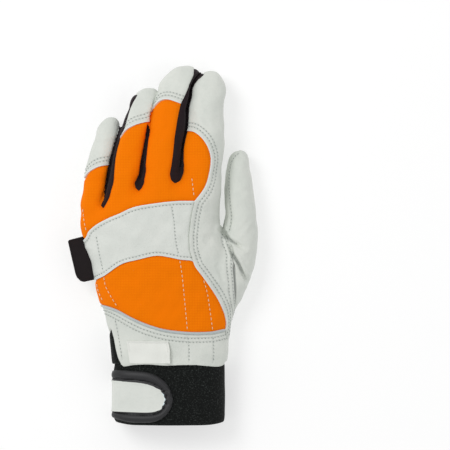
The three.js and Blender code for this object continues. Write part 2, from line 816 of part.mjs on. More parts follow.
pieces.strap_binding = {
  solid: mainBody(strapLayer(bindingRise).intersect(strapCut(0)).subtract(strapCut(strapBinding))),
  material: 'binding',
};

// The folded tab that stands out of the little-finger seam, its face bare.
function tabCorners() {
  const root = onHand(TAB_PLACE);
  const turn = new THREE.Vector2(-0.97, -0.25);
  const down = new THREE.Vector2(0.25, -0.97);
  const at = (out, along) => root.clone().addScaledVector(turn, out).addScaledVector(down, along);
  const edge = TAB.map((corner) => at(corner.out * tabWidth, corner.down * tabLength));
  return [at(-tabRoot, 0), ...edge, at(-tabRoot, tabLength)];
}
const tabHeight = handSeam(HAND[4]) + 1;
pieces.side_label = {
  solid: mainBody(prism(tabCorners(), tabHeight, tabHeight + labelThickness).subtract(outside(padRise + seamGap))),
  material: 'strip',
};

// The woven label on the wrist leather, its face bare.
const wovenOutline = [[0, 0], [1, 0], [1, -1], [0.05, -1]].map(([across, up]) => {
  return onHand(WOVEN_PLACE).add(new THREE.Vector2(across * wovenLength, up * wovenHeight));
});
pieces.woven_label = {
  solid: mainBody(prism(wovenOutline, cuffDepth / 2, CEILING)
    .intersect(hand(seamGap + labelThickness, 0)).subtract(hand(seamGap, 0))),
  material: 'white',
};

const glove = new THREE.Group();
for (const [name, piece] of Object.entries(pieces)) {
  const look = MATERIALS[piece.material];
  const mesh = new THREE.Mesh(toGeometry(piece.solid), new THREE.MeshStandardMaterial({ ...look, metalness: 0 }));
  mesh.name = name;
  glove.add(mesh);
}

// The origin is the middle of the glove's footprint, on the surface that it lies on.
const bounds = new THREE.Box3().setFromObject(glove);
const middle = bounds.getCenter(new THREE.Vector3());
glove.position.set(-middle.x, -middle.y, -bounds.min.z);

export default glove;
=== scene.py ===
# %% [markdown]
# # A chainsaw glove
# The real glove is sewn from about twenty pieces of goat leather, orange knit and black stretch cloth
# over a hollow hand. This lesson makes its skin once, as one smooth surface, and then cuts that skin
# along the seams, the way a glover cuts a hide. Every piece gets its own edge, thickness and finish.

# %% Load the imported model
import math

import bpy
import numpy as np
import openvdb
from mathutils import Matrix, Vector
from mathutils.bvhtree import BVHTree
from mathutils.kdtree import KDTree


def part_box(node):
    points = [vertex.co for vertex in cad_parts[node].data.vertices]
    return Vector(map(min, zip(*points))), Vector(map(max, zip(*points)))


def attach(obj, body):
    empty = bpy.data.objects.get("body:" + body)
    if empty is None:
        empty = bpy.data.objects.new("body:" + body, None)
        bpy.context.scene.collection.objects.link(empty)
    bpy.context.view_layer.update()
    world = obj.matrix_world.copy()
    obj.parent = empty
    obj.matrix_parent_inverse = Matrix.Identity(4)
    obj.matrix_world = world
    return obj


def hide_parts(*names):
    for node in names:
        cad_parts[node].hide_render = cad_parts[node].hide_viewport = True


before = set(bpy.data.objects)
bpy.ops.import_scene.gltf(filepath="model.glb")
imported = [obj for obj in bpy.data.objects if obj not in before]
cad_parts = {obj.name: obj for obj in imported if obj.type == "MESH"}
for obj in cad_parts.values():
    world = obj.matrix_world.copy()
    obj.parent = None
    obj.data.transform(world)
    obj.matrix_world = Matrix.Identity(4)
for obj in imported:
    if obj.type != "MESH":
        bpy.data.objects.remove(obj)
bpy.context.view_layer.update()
print("pieces in the frame:", len(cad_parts))

# %% [markdown]
# ## Sizes
# All shapes below are in millimetres on the glove's own plan: x runs across from the middle of the
# cuff to the thumb side, y from the cuff's hem to the fingertips, z up through the back of the hand.
# The cuff's box in the frame says where that plan lies, so nothing needs fitting by hand.

# %% From the glove's plan to the frame
MM = 0.001
cuff_low, cuff_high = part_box("cuff")
plan_origin = np.array([(cuff_low.x + cuff_high.x) / 2, cuff_low.y, 0.0])


def to_frame(points):
    return np.asarray(points, float) * MM + plan_origin


print("plan origin in the frame, m:", plan_origin.round(4))

# %% [markdown]
# ## Smooth tables
# A hand has no straight lines. Each outline is a short table that a Catmull-Rom curve passes through,
# so a few measured rows give a smooth edge.

# %% A smooth curve through rows
def smooth_rows(rows, steps=14):
    p = np.asarray(rows, float)
    p = np.vstack([2 * p[0] - p[1], p, 2 * p[-1] - p[-2]])
    t = np.linspace(0, 1, steps, endpoint=False)[:, None]
    parts = []
    for a, b, c, d in zip(p, p[1:], p[2:], p[3:]):
        bend = (2 * a - 5 * b + 4 * c - d) * t**2 + (3 * b - a - 3 * c + d) * t**3
        parts.append(b + 0.5 * ((c - a) * t + bend))
    return np.vstack(parts + [p[-2:-1]])


def read(rows, y, column):
    dense = smooth_rows(rows)
    return np.interp(y, dense[:, 0], dense[:, column])


def ease(value, low, high):
    t = np.clip((value - low) / (high - low), 0, 1)
    return t * t * (3 - 2 * t)


# %% [markdown]
# ## The skin as a field
# A field gives each point of space a number: below zero inside the hand, above zero outside. Fields
# join with a soft minimum, which leaves the small fillets that stretched leather has between hand,
# fingers and thumb. Lofted meshes joined by booleans would leave hard creases there.

# %% The space that the field covers
GRID_STEP = 0.8
SPACE_LOW = np.array([-69.0, 36.0, -3.0])
SPACE_HIGH = np.array([71.0, 264.0, 50.0])

axes = [np.arange(a, b, GRID_STEP, dtype=np.float32) for a, b in zip(SPACE_LOW, SPACE_HIGH)]
grid_x = axes[0][:, None, None]
grid_y = axes[1][None, :, None]
grid_z = axes[2][None, None, :]
print("field cells:", [len(a) for a in axes])

# %% [markdown]
# Each limb is a row of rounded sections. `rows` holds the left and right edge at places along the
# glove, seen from above, and the section's height comes from two curves. Sections are superellipses,
# flatter below than above, like a hand that lies on a table.

# %% The section of a limb at any place
SECTION_TOP = 2.3
SECTION_BOTTOM = 3.0
WAIST = 0.45
ROOT_TAPER = 30.0
ROOT_SCALE = 0.6
TIP_FULLNESS = 0.95
TIP_STEER = 1.6
LEAST_SLOPE = 0.35


def section(rows, tip, heights, x, y, shear=0.0, start=None):
    """Place along, middle line, half width, lowest and highest skin of a section, and its scale."""
    end = rows[-1][0]
    left, right = read(rows, y, 1), read(rows, y, 2)
    middle = (left + right) / 2
    along = y - shear * (x - middle)
    into = np.clip((along - end) / (tip[1] - end), 0, 0.9995)
    scale = np.sqrt(1 - into**2) ** TIP_FULLNESS
    if start is not None:
        scale = scale * (ROOT_SCALE + (1 - ROOT_SCALE) * ease(y, start, start + ROOT_TAPER))
    middle = middle + (tip[0] - (rows[-1][1] + rows[-1][2]) / 2) * into**TIP_STEER
    low, high = read(heights, along, 1), read(heights, along, 2)
    return along, middle, (right - left) / 2, low, high, scale


# %% [markdown]
# A section's own number grows faster on flat limbs than on round ones. Dividing it by its slope turns
# it into something close to millimetres, so all limbs can be joined with fillets of a known size.

# %% One limb of the hand as a field
def even_slope(field):
    slopes = np.gradient(field, GRID_STEP)
    length = np.sqrt(sum(s * s for s in slopes))
    return (field / np.maximum(length, LEAST_SLOPE)).astype(np.float32)


def limb(rows, tip, heights, shear=0.0, start=None):
    along, middle, half, low, high, scale = section(rows, tip, heights, grid_x, grid_y, shear, start)
    waist = low + WAIST * (high - low)
    across = np.abs(grid_x - middle) / (half * scale)
    above = np.maximum(grid_z - waist, 0) / ((high - waist) * scale)
    below = np.maximum(waist - grid_z, 0) / ((waist - low) * scale)
    top = (across**SECTION_TOP + above**SECTION_TOP) ** (1 / SECTION_TOP)
    bottom = (across**SECTION_BOTTOM + below**SECTION_BOTTOM) ** (1 / SECTION_BOTTOM)
    radius = np.where(grid_z > waist, top, bottom)
    field = even_slope((radius - 1) * np.minimum(half, (high - low) / 2) * scale)
    field = np.maximum(field, along - tip[1])
    if start is not None:
        field = np.maximum(field, start - grid_y)
    return field


def soft_min(a, b, width):
    t = np.clip(0.5 + 0.5 * (b - a) / width, 0, 1)
    return b + (a - b) * t - width * t * (1 - t)


# %% [markdown]
# ## Hand, thumb and fingers
# The rows are read from the photo at 0.72 mm a pixel: the place along the glove, then the left and the
# right edge. The height rows give the lowest and the highest skin.

# %% Edges of the hand and the thumb: along, left, right
HAND_EDGES = [
    (36.0, -40.5, 41.5), (52.6, -41.8, 42.6), (64.0, -42.9, 43.6), (74.2, -44.9, 44.2),
    (86.4, -48.4, 44.4), (97.2, -51.6, 44.0), (108.0, -53.8, 43.4), (120.2, -57.0, 42.6),
    (133.2, -60.6, 40.4), (144.0, -62.7, 37.6), (154.8, -63.4, 36.2),
]
HAND_TIP = (-13.0, 179.0)
HAND_HEIGHTS = [
    (36.0, 0.0, 35.9), (68.6, 0.0, 36.6), (91.3, 0.4, 38.4), (112.7, 1.3, 40.6),
    (134.1, 2.6, 42.6), (151.8, 4.4, 43.4), (164.4, 7.5, 42.2), (180.0, 14.0, 38.0),
]
THUMB_EDGES = [
    (60.0, 15.0, 43.6), (72.0, 14.0, 45.4), (82.1, 15.5, 48.4), (92.9, 18.0, 53.4),
    (102.2, 21.5, 57.6), (110.2, 26.0, 60.3), (118.8, 30.5, 62.4), (129.6, 35.0, 63.7),
    (140.4, 38.4, 63.8), (151.2, 40.2, 63.1), (162.0, 40.0, 62.0), (176.4, 40.4, 59.9),
    (185.0, 41.6, 58.1),
]
THUMB_TIP = (50.6, 198.2)
THUMB_HEIGHTS = [
    (60.0, 0.0, 21.0), (81.3, 0.0, 26.5), (95.9, 0.0, 29.0), (110.6, 0.0, 29.8),
    (125.2, 0.0, 29.2), (139.8, 0.0, 28.0), (152.0, 0.0, 26.9), (167.9, 0.0, 25.6),
    (178.9, 0.2, 24.2), (198.0, 2.0, 21.0),
]

# %% [markdown]
# Fingers sag toward the table: their middle height runs from the root's to the tip's, and they grow a
# little thinner on the way.

# %% Edges of the fingers, and how each one sags
FINGERS = {
    "little": {
        "rows": [
            (140.0, -62.0, -46.0), (158.4, -63.2, -46.6), (169.2, -61.5, -45.0),
            (183.6, -59.8, -42.0), (198.0, -56.9, -38.4), (209.5, -52.7, -35.0),
        ],
        "tip": (-41.0, 222.4), "root": 158.8, "length": 63.7, "depth": 20.5, "heights": (22.0, 10.5),
    },
    "ring": {
        "rows": [
            (140.0, -48.0, -22.0), (162.0, -46.4, -22.2), (183.6, -42.4, -18.6),
            (205.2, -37.6, -14.2), (218.0, -33.8, -9.6), (228.5, -29.2, -5.2),
        ],
        "tip": (-14.5, 243.6), "root": 162.3, "length": 81.4, "depth": 23.5, "heights": (26.0, 11.5),
    },
    "middle": {
        "rows": [
            (145.0, -22.5, 6.4), (170.0, -21.2, 7.6), (190.8, -18.3, 9.8),
            (212.4, -14.9, 13.6), (226.8, -12.2, 17.2), (241.0, -8.0, 24.6),
        ],
        "tip": (12.8, 259.4), "root": 169.4, "length": 90.0, "depth": 24.5, "heights": (28.0, 12.0),
    },
    "index": {
        "rows": [
            (140.0, 4.0, 35.6), (162.0, 6.0, 36.0), (176.4, 7.0, 37.3), (187.2, 8.2, 38.3),
            (198.0, 9.2, 39.6), (207.0, 10.9, 39.9), (214.0, 12.2, 39.6), (226.8, 12.6, 39.5),
            (233.0, 13.8, 40.1), (238.0, 14.8, 41.0),
        ],
        "tip": (29.5, 255.6), "root": 169.4, "length": 86.0, "depth": 25.0, "heights": (28.0, 12.5),
    },
}
PAIRS = [("little", "ring"), ("ring", "middle"), ("middle", "index")]
SAG_POWER = 1.7
ROOT_PLUMP = 1.06
TIP_LOSS = 0.18
FLAT_BELOW = 0.9
ROUND_ABOVE = 1.1


def sag(finger, y):
    t = np.clip((y - finger["root"]) / finger["length"], 0, 1)
    root, tip = finger["heights"]
    middle = root + (tip - root) * t**SAG_POWER
    half = finger["depth"] / 2 * (ROOT_PLUMP - TIP_LOSS * t)
    return middle, half


def finger_heights(finger):
    heights = []
    for y in np.linspace(finger["rows"][0][0], finger["tip"][1], 9):
        middle, half = sag(finger, y)
        heights.append((y, middle - FLAT_BELOW * half, middle + ROUND_ABOVE * half))
    return heights


print("fingers:", {name: finger["length"] for name, finger in FINGERS.items()}, "mm")

# %% [markdown]
# Neighbouring fingers overlap. In the photo the finger nearer to the thumb lies in front, so its own
# edge shows. The finger behind is cut away above the front finger's middle height.

# %% Front edge of a finger in plan, with its rounded tip
TUCK_DEPTH = 2.0


def front_edge(finger, y):
    rows = finger["rows"]
    end = rows[-1][0]
    into = np.clip((y - end) / (finger["tip"][1] - end), 0, 1)
    left = read(rows, np.minimum(y, end), 1)
    return left + (finger["tip"][0] - rows[-1][1]) * (1 - np.sqrt(1 - into**2))


def tuck_behind(behind, finger, margin):
    middle, _ = sag(finger, grid_y)
    over = np.maximum(front_edge(finger, grid_y) - margin - grid_x, middle - TUCK_DEPTH - grid_z)
    over = np.maximum(over, grid_y - finger["tip"][1])
    return np.maximum(behind, -over)


def top_height(finger, x, y):
    """Height of a finger's upper skin over the plan, down to its widest line beside it."""
    heights = finger_heights(finger)
    _, middle, half, low, high, scale = section(finger["rows"], finger["tip"], heights, x, y)
    waist = low + WAIST * (high - low)
    across = np.minimum(np.abs(x - middle) / (half * scale), 1)
    return waist + (high - waist) * scale * (1 - across**SECTION_TOP) ** (1 / SECTION_TOP)


# %% [markdown]
# `owners` keeps each finger's own field: it says later which finger a seam runs on. The cut there is
# wider than in the shape itself, so that the crease between two fingers belongs to the front one.

# %% All limbs joined
FINGER_START = 30
OWNER_MARGIN = 1.0
TUCK_MARGIN = 0.2
KNUCKLE_SLANT = 0.28
FINGER_FILLET = 1.0
KNUCKLE_FILLET = 5.0
CROTCH_FILLET = 2.2
THUMB_ROOT_FILLET = 6.0
THUMB_WEB = (122.0, 138.0)

fields = {}
for name, finger in FINGERS.items():
    start = finger["root"] - FINGER_START
    fields[name] = limb(finger["rows"], finger["tip"], finger_heights(finger), 0, start)
owners = dict(fields)
for behind, front in PAIRS:
    owners[behind] = tuck_behind(fields[behind], FINGERS[front], OWNER_MARGIN)
    fields[behind] = tuck_behind(fields[behind], FINGERS[front], TUCK_MARGIN)
hand_field = limb(HAND_EDGES, HAND_TIP, HAND_HEIGHTS, KNUCKLE_SLANT)
thumb_field = limb(THUMB_EDGES, THUMB_TIP, THUMB_HEIGHTS, 0, THUMB_EDGES[0][0])
finger_field = fields["little"]
for name in ("ring", "middle", "index"):
    finger_field = soft_min(finger_field, fields[name], FINGER_FILLET)
hand_field = soft_min(hand_field, finger_field, KNUCKLE_FILLET)
toward_root = 1 - ease(grid_y, *THUMB_WEB)
web = CROTCH_FILLET + (THUMB_ROOT_FILLET - CROTCH_FILLET) * toward_root
body_field = soft_min(hand_field, thumb_field, web)
print("field range, mm:", float(body_field.min()), float(body_field.max()))

# %% [markdown]
# ## From field to mesh
# OpenVDB, which comes with Blender, lays even squares where the field is zero. Two rounds of moving
# each corner halfway to its neighbours' middle take the grid's steps away.

# %% The whole skin as triangles with normals
RELAX_ROUNDS = 2


def surface_normals(points, faces):
    a, b, c = (points[faces[:, k]] for k in range(3))
    flat = np.cross(b - a, c - a)
    normals = np.zeros_like(points)
    for axis in range(3):
        for corner in range(3):
            normals[:, axis] += np.bincount(faces[:, corner], flat[:, axis], len(points))
    return normals / np.maximum(np.linalg.norm(normals, axis=1, keepdims=True), 1e-12)


def triangle_edges(faces):
    return np.vstack([faces[:, [0, 1]], faces[:, [1, 2]], faces[:, [2, 0]]])


def relax(points, faces, rounds):
    edges = np.unique(np.sort(triangle_edges(faces), axis=1), axis=0)
    count = np.bincount(edges.ravel(), minlength=len(points))[:, None]
    for _ in range(rounds):
        total = np.zeros_like(points)
        for axis in range(3):
            total[:, axis] += np.bincount(edges[:, 0], points[edges[:, 1], axis], len(points))
            total[:, axis] += np.bincount(edges[:, 1], points[edges[:, 0], axis], len(points))
        points = points + 0.5 * (total / count - points)
    return points


def mesh_field(field):
    grid = openvdb.FloatGrid()
    grid.copyFromArray(np.ascontiguousarray(field, np.float32))
    points, quads = grid.convertToQuads(0.0)
    points = points.astype(float) * GRID_STEP + SPACE_LOW
    quads = quads.astype(np.int64)
    faces = np.vstack([quads[:, [0, 1, 2]], quads[:, [0, 2, 3]]])
    points = relax(points, faces, RELAX_ROUNDS)
    return {"points": points, "faces": faces, "normals": surface_normals(points, faces)}


def sample(field, points):
    """A field's value at free points, from the eight cells around each."""
    place = (points - SPACE_LOW) / GRID_STEP
    cell = np.clip(np.floor(place).astype(int), 0, np.array(field.shape) - 2)
    part = np.clip(place - cell, 0, 1)
    value = np.zeros(len(points))
    for corner in np.ndindex(2, 2, 2):
        weight = np.where(np.array(corner) == 1, part, 1 - part).prod(1)
        value += weight * field[tuple((cell + corner).T)]
    return value


skin = mesh_field(body_field)
skin["reach"] = np.stack([sample(owners[name], skin["points"]) for name in FINGERS], axis=1)
print("skin triangles:", len(skin["faces"]))

# %% [markdown]
# ## Measuring on the skin
# Folds and seams are drawn on the plan, as a cutter draws them on paper. Three measures carry them to
# the skin: the distance from a line, whether a point lies inside an outline, and both in one number.
# A plan distance is too short on a slope, so it is stretched by how steeply the skin falls there.

# %% Distance from a plan line, and from the edge of a plan shape
STEEPEST = 0.12


def from_line(points, line):
    best = np.full(len(points), 1e9)
    toward = np.zeros((len(points), 2))
    flat = points[:, :2]
    line = np.asarray(line, float)
    for start, end in zip(line[:-1], line[1:]):
        step = end - start
        t = np.clip((flat - start) @ step / max(step @ step, 1e-9), 0, 1)
        offset = start + t[:, None] * step - flat
        square = (offset**2).sum(1)
        nearer = square < best
        best[nearer] = square[nearer]
        toward[nearer] = offset[nearer]
    return np.sqrt(best), toward


def within(points, outline):
    x, y = points[:, 0], points[:, 1]
    inside = np.zeros(len(points), bool)
    for (ax, ay), (bx, by) in zip(outline, np.roll(outline, -1, axis=0)):
        crosses = (ay > y) != (by > y)
        height = by - ay if abs(by - ay) > 1e-9 else 1e-9
        inside ^= crosses & (x < ax + (y - ay) * (bx - ax) / height)
    return inside


def on_slope(distance, toward, normals):
    length = np.maximum(np.linalg.norm(toward, axis=1), 1e-6)
    fall = (normals[:, :2] * toward).sum(1) / length
    return distance / np.sqrt(np.maximum(1 - fall**2, STEEPEST))


def plan_shape(part, outline):
    outline = np.asarray(outline, float)
    distance, toward = from_line(part["points"], np.vstack([outline, outline[:1]]))
    distance = on_slope(distance, toward, part["normals"])
    return np.where(within(part["points"], outline), -distance, distance)


# %% [markdown]
# ## Folds in the skin
# A worn hide folds where the hand bends: at the thumb's root, over the finger joints and along the
# palm's lines. Each fold is a short line on the plan with a depth and a width in millimetres; the skin
# sinks along it and swells a little on both sides, and a depth below zero makes a soft ridge.
# Displacing points in code puts each fold exactly where the photo has it. The sharpest folds are
# listed once more, because their shade is painted too.

# %% Fold lines: depth, width, then places on the plan
BACK_FOLDS = [
    (1.6, 1.3, [(37.2, 141.0), (43.1, 134.1), (49.0, 130.2), (54.7, 126.9)]),
    (2.2, 1.3, [(43.3, 131.6), (45.5, 123.6), (49.5, 117.2), (52.7, 110.8), (57.4, 101.4)]),
    (-0.45, 1.5, [(53.0, 137.0), (58.0, 143.4), (63.6, 150.4)]),
    (0.8, 1.6, [(36.0, 114.0), (37.6, 108.4), (40.0, 102.0)]),
    (0.3, 2.4, [(31.0, 158.0), (30.4, 150.0), (31.7, 142.0)]),
    (0.25, 2.2, [(26.6, 144.0), (27.6, 136.0), (30.0, 125.0)]),
    (0.55, 2.6, [(41.0, 232.6), (36.8, 229.0), (31.0, 226.6)]),
    (0.3, 2.2, [(39.0, 208.0), (36.4, 202.0), (36.0, 193.0)]),
    (0.2, 1.4, [(17.0, 231.0), (23.0, 224.0), (31.5, 211.0)]),
    (0.25, 1.5, [(-2.0, 247.0), (4.0, 250.5), (12.0, 251.5)]),
    (0.2, 1.4, [(-52.0, 205.0), (-46.0, 208.5), (-39.0, 208.0)]),
    (0.2, 1.4, [(-30.0, 226.0), (-22.0, 229.5), (-12.0, 229.0)]),
    (0.5, 2.6, [(-62.0, 172.0), (-57.6, 174.6), (-50.6, 177.4)]),
    (-0.45, 2.4, [(-11.6, 205.0), (-8.4, 211.6), (-4.6, 217.0)]),
    (0.4, 2.6, [(-15.0, 184.4), (-10.0, 181.4), (-4.0, 176.6)]),
    (0.4, 3.0, [(-34.0, 186.0), (-27.0, 190.0), (-20.6, 195.0)]),
    (0.35, 3.2, [(12.0, 178.0), (18.0, 174.0), (25.0, 172.6)]),
    (0.3, 1.6, [(46.8, 190.0), (50.4, 193.6), (56.2, 191.4)]),
    (0.35, 1.8, [(48.6, 163.0), (54.0, 168.0), (59.4, 170.4)]),
]
PALM_FOLDS = [
    (0.9, 1.6, [(8.0, 187.0), (20.0, 189.6), (36.0, 188.0)]),
    (0.8, 1.4, [(10.0, 213.0), (22.0, 215.6), (38.0, 214.0)]),
    (0.5, 1.4, [(14.0, 233.0), (26.0, 235.4), (40.0, 233.0)]),
    (0.9, 1.5, [(-20.0, 189.0), (-8.0, 192.4), (7.0, 191.0)]),
    (0.8, 1.4, [(-15.0, 219.0), (-4.0, 222.0), (13.0, 220.0)]),
    (0.9, 1.5, [(-42.0, 182.0), (-30.0, 186.0), (-19.0, 186.0)]),
    (0.8, 1.4, [(-36.0, 208.0), (-25.0, 211.4), (-13.0, 210.0)]),
    (0.8, 1.4, [(-60.0, 176.0), (-52.0, 179.4), (-43.0, 180.0)]),
    (0.7, 1.3, [(-56.0, 198.0), (-48.0, 200.6), (-38.0, 200.0)]),
    (0.7, 1.8, [(-58.0, 148.0), (-34.0, 153.0), (-8.0, 160.0), (12.0, 168.0), (20.0, 176.0)]),
    (0.6, 1.8, [(34.0, 150.0), (12.0, 146.0), (-16.0, 135.0), (-40.0, 118.0), (-46.0, 104.0)]),
    (0.5, 2.0, [(-34.0, 168.0), (-30.0, 158.0), (-31.0, 149.0)]),
    (0.5, 2.0, [(-4.0, 170.0), (-2.0, 160.0), (-4.0, 151.0)]),
    (0.5, 2.2, [(-24.0, 62.0), (-20.0, 78.0), (-24.0, 96.0)]),
    (0.8, 2.0, [(40.0, 96.0), (30.0, 104.0), (16.0, 108.0)]),
    (0.6, 1.8, [(44.0, 112.0), (34.0, 116.0), (22.0, 116.0)]),
]
SHARP_FOLDS = [
    [(36.6, 141.6), (43.1, 134.1), (48.4, 130.4), (54.7, 126.9)],
    [(43.0, 132.6), (45.5, 123.6), (49.5, 117.2), (52.7, 110.8), (57.4, 101.4)],
    [(45.4, 125.0), (46.3, 121.2), (46.7, 113.2), (47.7, 102.8), (48.1, 94.8), (48.7, 84.0)],
]
print("folds:", len(BACK_FOLDS), "on the back,", len(PALM_FOLDS), "on the palm side")

# %% [markdown]
# A few long soft waves keep flat areas from looking like moulded plastic. Each has a height in mm, a
# heading in degrees and a length in mm.

# %% Sink the folds into the skin
SOFT_WAVES = [(0.20, 31.0, 24.0), (0.16, 128.0, 17.0), (0.12, 77.0, 12.5), (0.08, 163.0, 9.0)]
FOLD_SWELLING = 0.4
BACK_SIDE = 1
PALM_SIDE = -1


def fold_depth(points, normals, folds, side):
    sunk = np.zeros(len(points))
    facing = ease(normals[:, 2] * side, -0.15, 0.35)
    for depth, width, places in folds:
        line = smooth_rows(places, 6)
        near = np.abs(points[:, :2] - line.mean(0)).max(1) < np.ptp(line, axis=0).max() + 5 * width
        distance, _ = from_line(points[near], line)
        ends = np.linalg.norm(points[near, None, :2] - line[[0, -1]], axis=2).min(1)
        fade = ease(ends + 1.5 * width, width, 5 * width)
        groove = np.exp(-((distance / width) ** 2))
        swelling = np.exp(-(((distance - 2 * width) / width) ** 2))
        sunk[near] += depth * (groove - FOLD_SWELLING * swelling) * fade
    return sunk * facing


points, normals = skin["points"], skin["normals"]
lift = np.zeros(len(points))
for height, heading, length in SOFT_WAVES:
    turn = np.radians(heading)
    across = points @ np.array([np.cos(turn), np.sin(turn), 0.35])
    other = points @ np.array([-np.sin(turn), np.cos(turn), -0.2])
    lift += height * np.sin(2 * np.pi * (across + 3 * np.sin(other / length)) / length)
back_depth = fold_depth(points, normals, BACK_FOLDS, BACK_SIDE)
lift -= back_depth + fold_depth(points, normals, PALM_FOLDS, PALM_SIDE)
skin["points"] = points + normals * lift[:, None]
skin["normals"] = surface_normals(skin["points"], skin["faces"])
print("folds sink the skin by up to, mm:", round(float(-lift.min()), 2))

# %% [markdown]
# ## Cutting along seams
# A seam is a second field over the skin's points. Triangles that it crosses are split there, so the
# cut is smooth and both pieces share its points. A cut that passes close by a corner uses the corner.
# Patches of a few corners are crumbs that a real cutter would sweep away, so they change sides.

# %% Keep a part of the skin, and find crumbs
SNAP = 0.14
SMALLEST_PATCH = 60
CRUMB_VALUE = 0.4


def carried(skin_part):
    return [key for key in skin_part if key != "faces"]


def compact(skin_part, faces):
    used, index = np.unique(faces, return_inverse=True)
    kept = {key: skin_part[key][used] for key in carried(skin_part)}
    kept["faces"] = index.reshape(-1, 3)
    return kept


def without_slivers(faces):
    a, b, c = faces.T
    return faces[(a != b) & (b != c) & (c != a)]


def find_crumbs(part, inside):
    """Marks the corners of all patches that are too small to be a piece."""
    edges = np.vstack([part["faces"][:, [0, 1]], part["faces"][:, [1, 2]]])
    edges = edges[inside[edges[:, 0]] == inside[edges[:, 1]]]
    label = np.arange(len(inside))
    while True:
        lower = label.copy()
        np.minimum.at(lower, edges[:, 0], label[edges[:, 1]])
        np.minimum.at(lower, edges[:, 1], label[edges[:, 0]])
        lower = lower[lower]
        if (lower == label).all():
            break
        label = lower
    return np.bincount(label, minlength=len(label))[label] < SMALLEST_PATCH


# %% Cut the skin where a value passes zero
def split(skin_part, value):
    """The part of the skin where the value is below zero, and the rest."""
    crumbs = find_crumbs(skin_part, value < 0)
    value = np.where(crumbs, np.where(value < 0, CRUMB_VALUE, -CRUMB_VALUE), value)
    faces = skin_part["faces"]
    inside = value < 0
    count = inside[faces].sum(1)
    mixed = (count == 1) | (count == 2)
    lone = count[mixed] == 1
    corners = faces[mixed]
    first = (inside[corners] == lone[:, None]).argmax(1)
    a, b, c = (corners[np.arange(len(corners)), (first + k) % 3] for k in range(3))
    edges = np.sort(np.vstack([np.c_[a, b], np.c_[a, c]]), axis=1)
    edges, place = np.unique(edges, axis=0, return_inverse=True)
    place = place.reshape(-1)
    start, end = value[edges[:, 0]], value[edges[:, 1]]
    share = (start / (start - end))[:, None]
    made = {}
    for key in carried(skin_part):
        data = skin_part[key]
        made[key] = np.vstack([data, data[edges[:, 0]] * (1 - share) + data[edges[:, 1]] * share])
    number = len(value) + np.arange(len(edges))
    number = np.where(share[:, 0] < SNAP, edges[:, 0], number)
    number = np.where(share[:, 0] > 1 - SNAP, edges[:, 1], number)
    ab, ac = number[place[: len(a)]], number[place[len(a):]]
    near = np.c_[a, ab, ac]
    far = np.vstack([np.c_[ab, b, c], np.c_[ab, c, ac]])
    lone_twice = np.concatenate([lone, lone])
    inner = np.vstack([faces[count == 3], near[lone], far[~lone_twice]])
    outer = np.vstack([faces[count == 0], near[~lone], far[lone_twice]])
    return compact(made, without_slivers(inner)), compact(made, without_slivers(outer))


# %% [markdown]
# ## Where the seams run
# On the back, seams are plan outlines measured on the photo. Outlines that leave the hand's left edge
# go on to the side seam, where the back pieces meet the palm leather.

# %% Outlines of the back pieces, in mm on the plan
BAND_TOP = [
    (-76.0, 124.0), (-60.5, 133.6), (-56.9, 139.7), (-51.1, 144.4), (-42.5, 148.9), (-35.3, 151.9),
    (-28.1, 155.3), (-20.9, 157.5), (-10.1, 159.2), (0.0, 160.6), (9.4, 161.2), (18.7, 161.2),
]
BAND_END = [(18.7, 161.2), (16.4, 151.3), (14.6, 136.8), (15.0, 125.9), (17.6, 117.6)]
BAND_BOTTOM = [
    (17.6, 117.6), (15.8, 118.6), (7.9, 119.4), (0.7, 121.0), (-8.6, 122.2), (-20.9, 119.6),
    (-33.8, 116.0), (-45.4, 108.2), (-52.6, 104.6), (-70.0, 96.0),
]
PANEL_SIDE = [
    (17.6, 117.6), (19.4, 113.4), (23.8, 107.6), (29.5, 99.6), (33.1, 94.2), (36.7, 87.8),
    (40.0, 79.8), (41.2, 73.6), (40.6, 68.6),
]
PANEL_BOTTOM = [
    (40.6, 68.6), (31.7, 66.8), (22.3, 66.3), (11.5, 66.6), (-2.9, 68.4), (-13.7, 71.4),
    (-20.9, 74.2), (-28.1, 77.6), (-36.7, 82.2), (-46.1, 85.4), (-66.0, 89.0),
]
INDEX_LOBE = [
    (4.0, 211.6), (13.0, 211.6), (18.7, 210.4), (24.5, 205.4), (28.6, 198.4), (30.2, 190.8),
    (29.0, 180.4), (25.6, 170.6), (18.7, 161.2),
]
CAP_EDGES = {
    "little": [
        (-70.0, 168.0), (-61.6, 176.5), (-57.6, 181.8), (-51.1, 185.6), (-43.2, 187.2), (-36.0, 187.4),
    ],
    "ring": [
        (-44.0, 200.0), (-36.0, 206.0), (-31.0, 212.0), (-23.8, 216.0), (-15.1, 218.2), (-8.0, 218.6),
    ],
    "middle": [
        (-19.0, 208.0), (-14.6, 219.0), (-11.5, 227.8), (-6.5, 233.0), (-0.7, 234.2), (9.0, 231.2),
        (20.0, 229.0),
    ],
}
print("leather caps on:", ", ".join(CAP_EDGES))

# %% [markdown]
# The black strips between the fingers have rows with the place along the glove and the left and right
# edge, as seen on the back. On the palm side only their half width is given, about the fingers' gap.

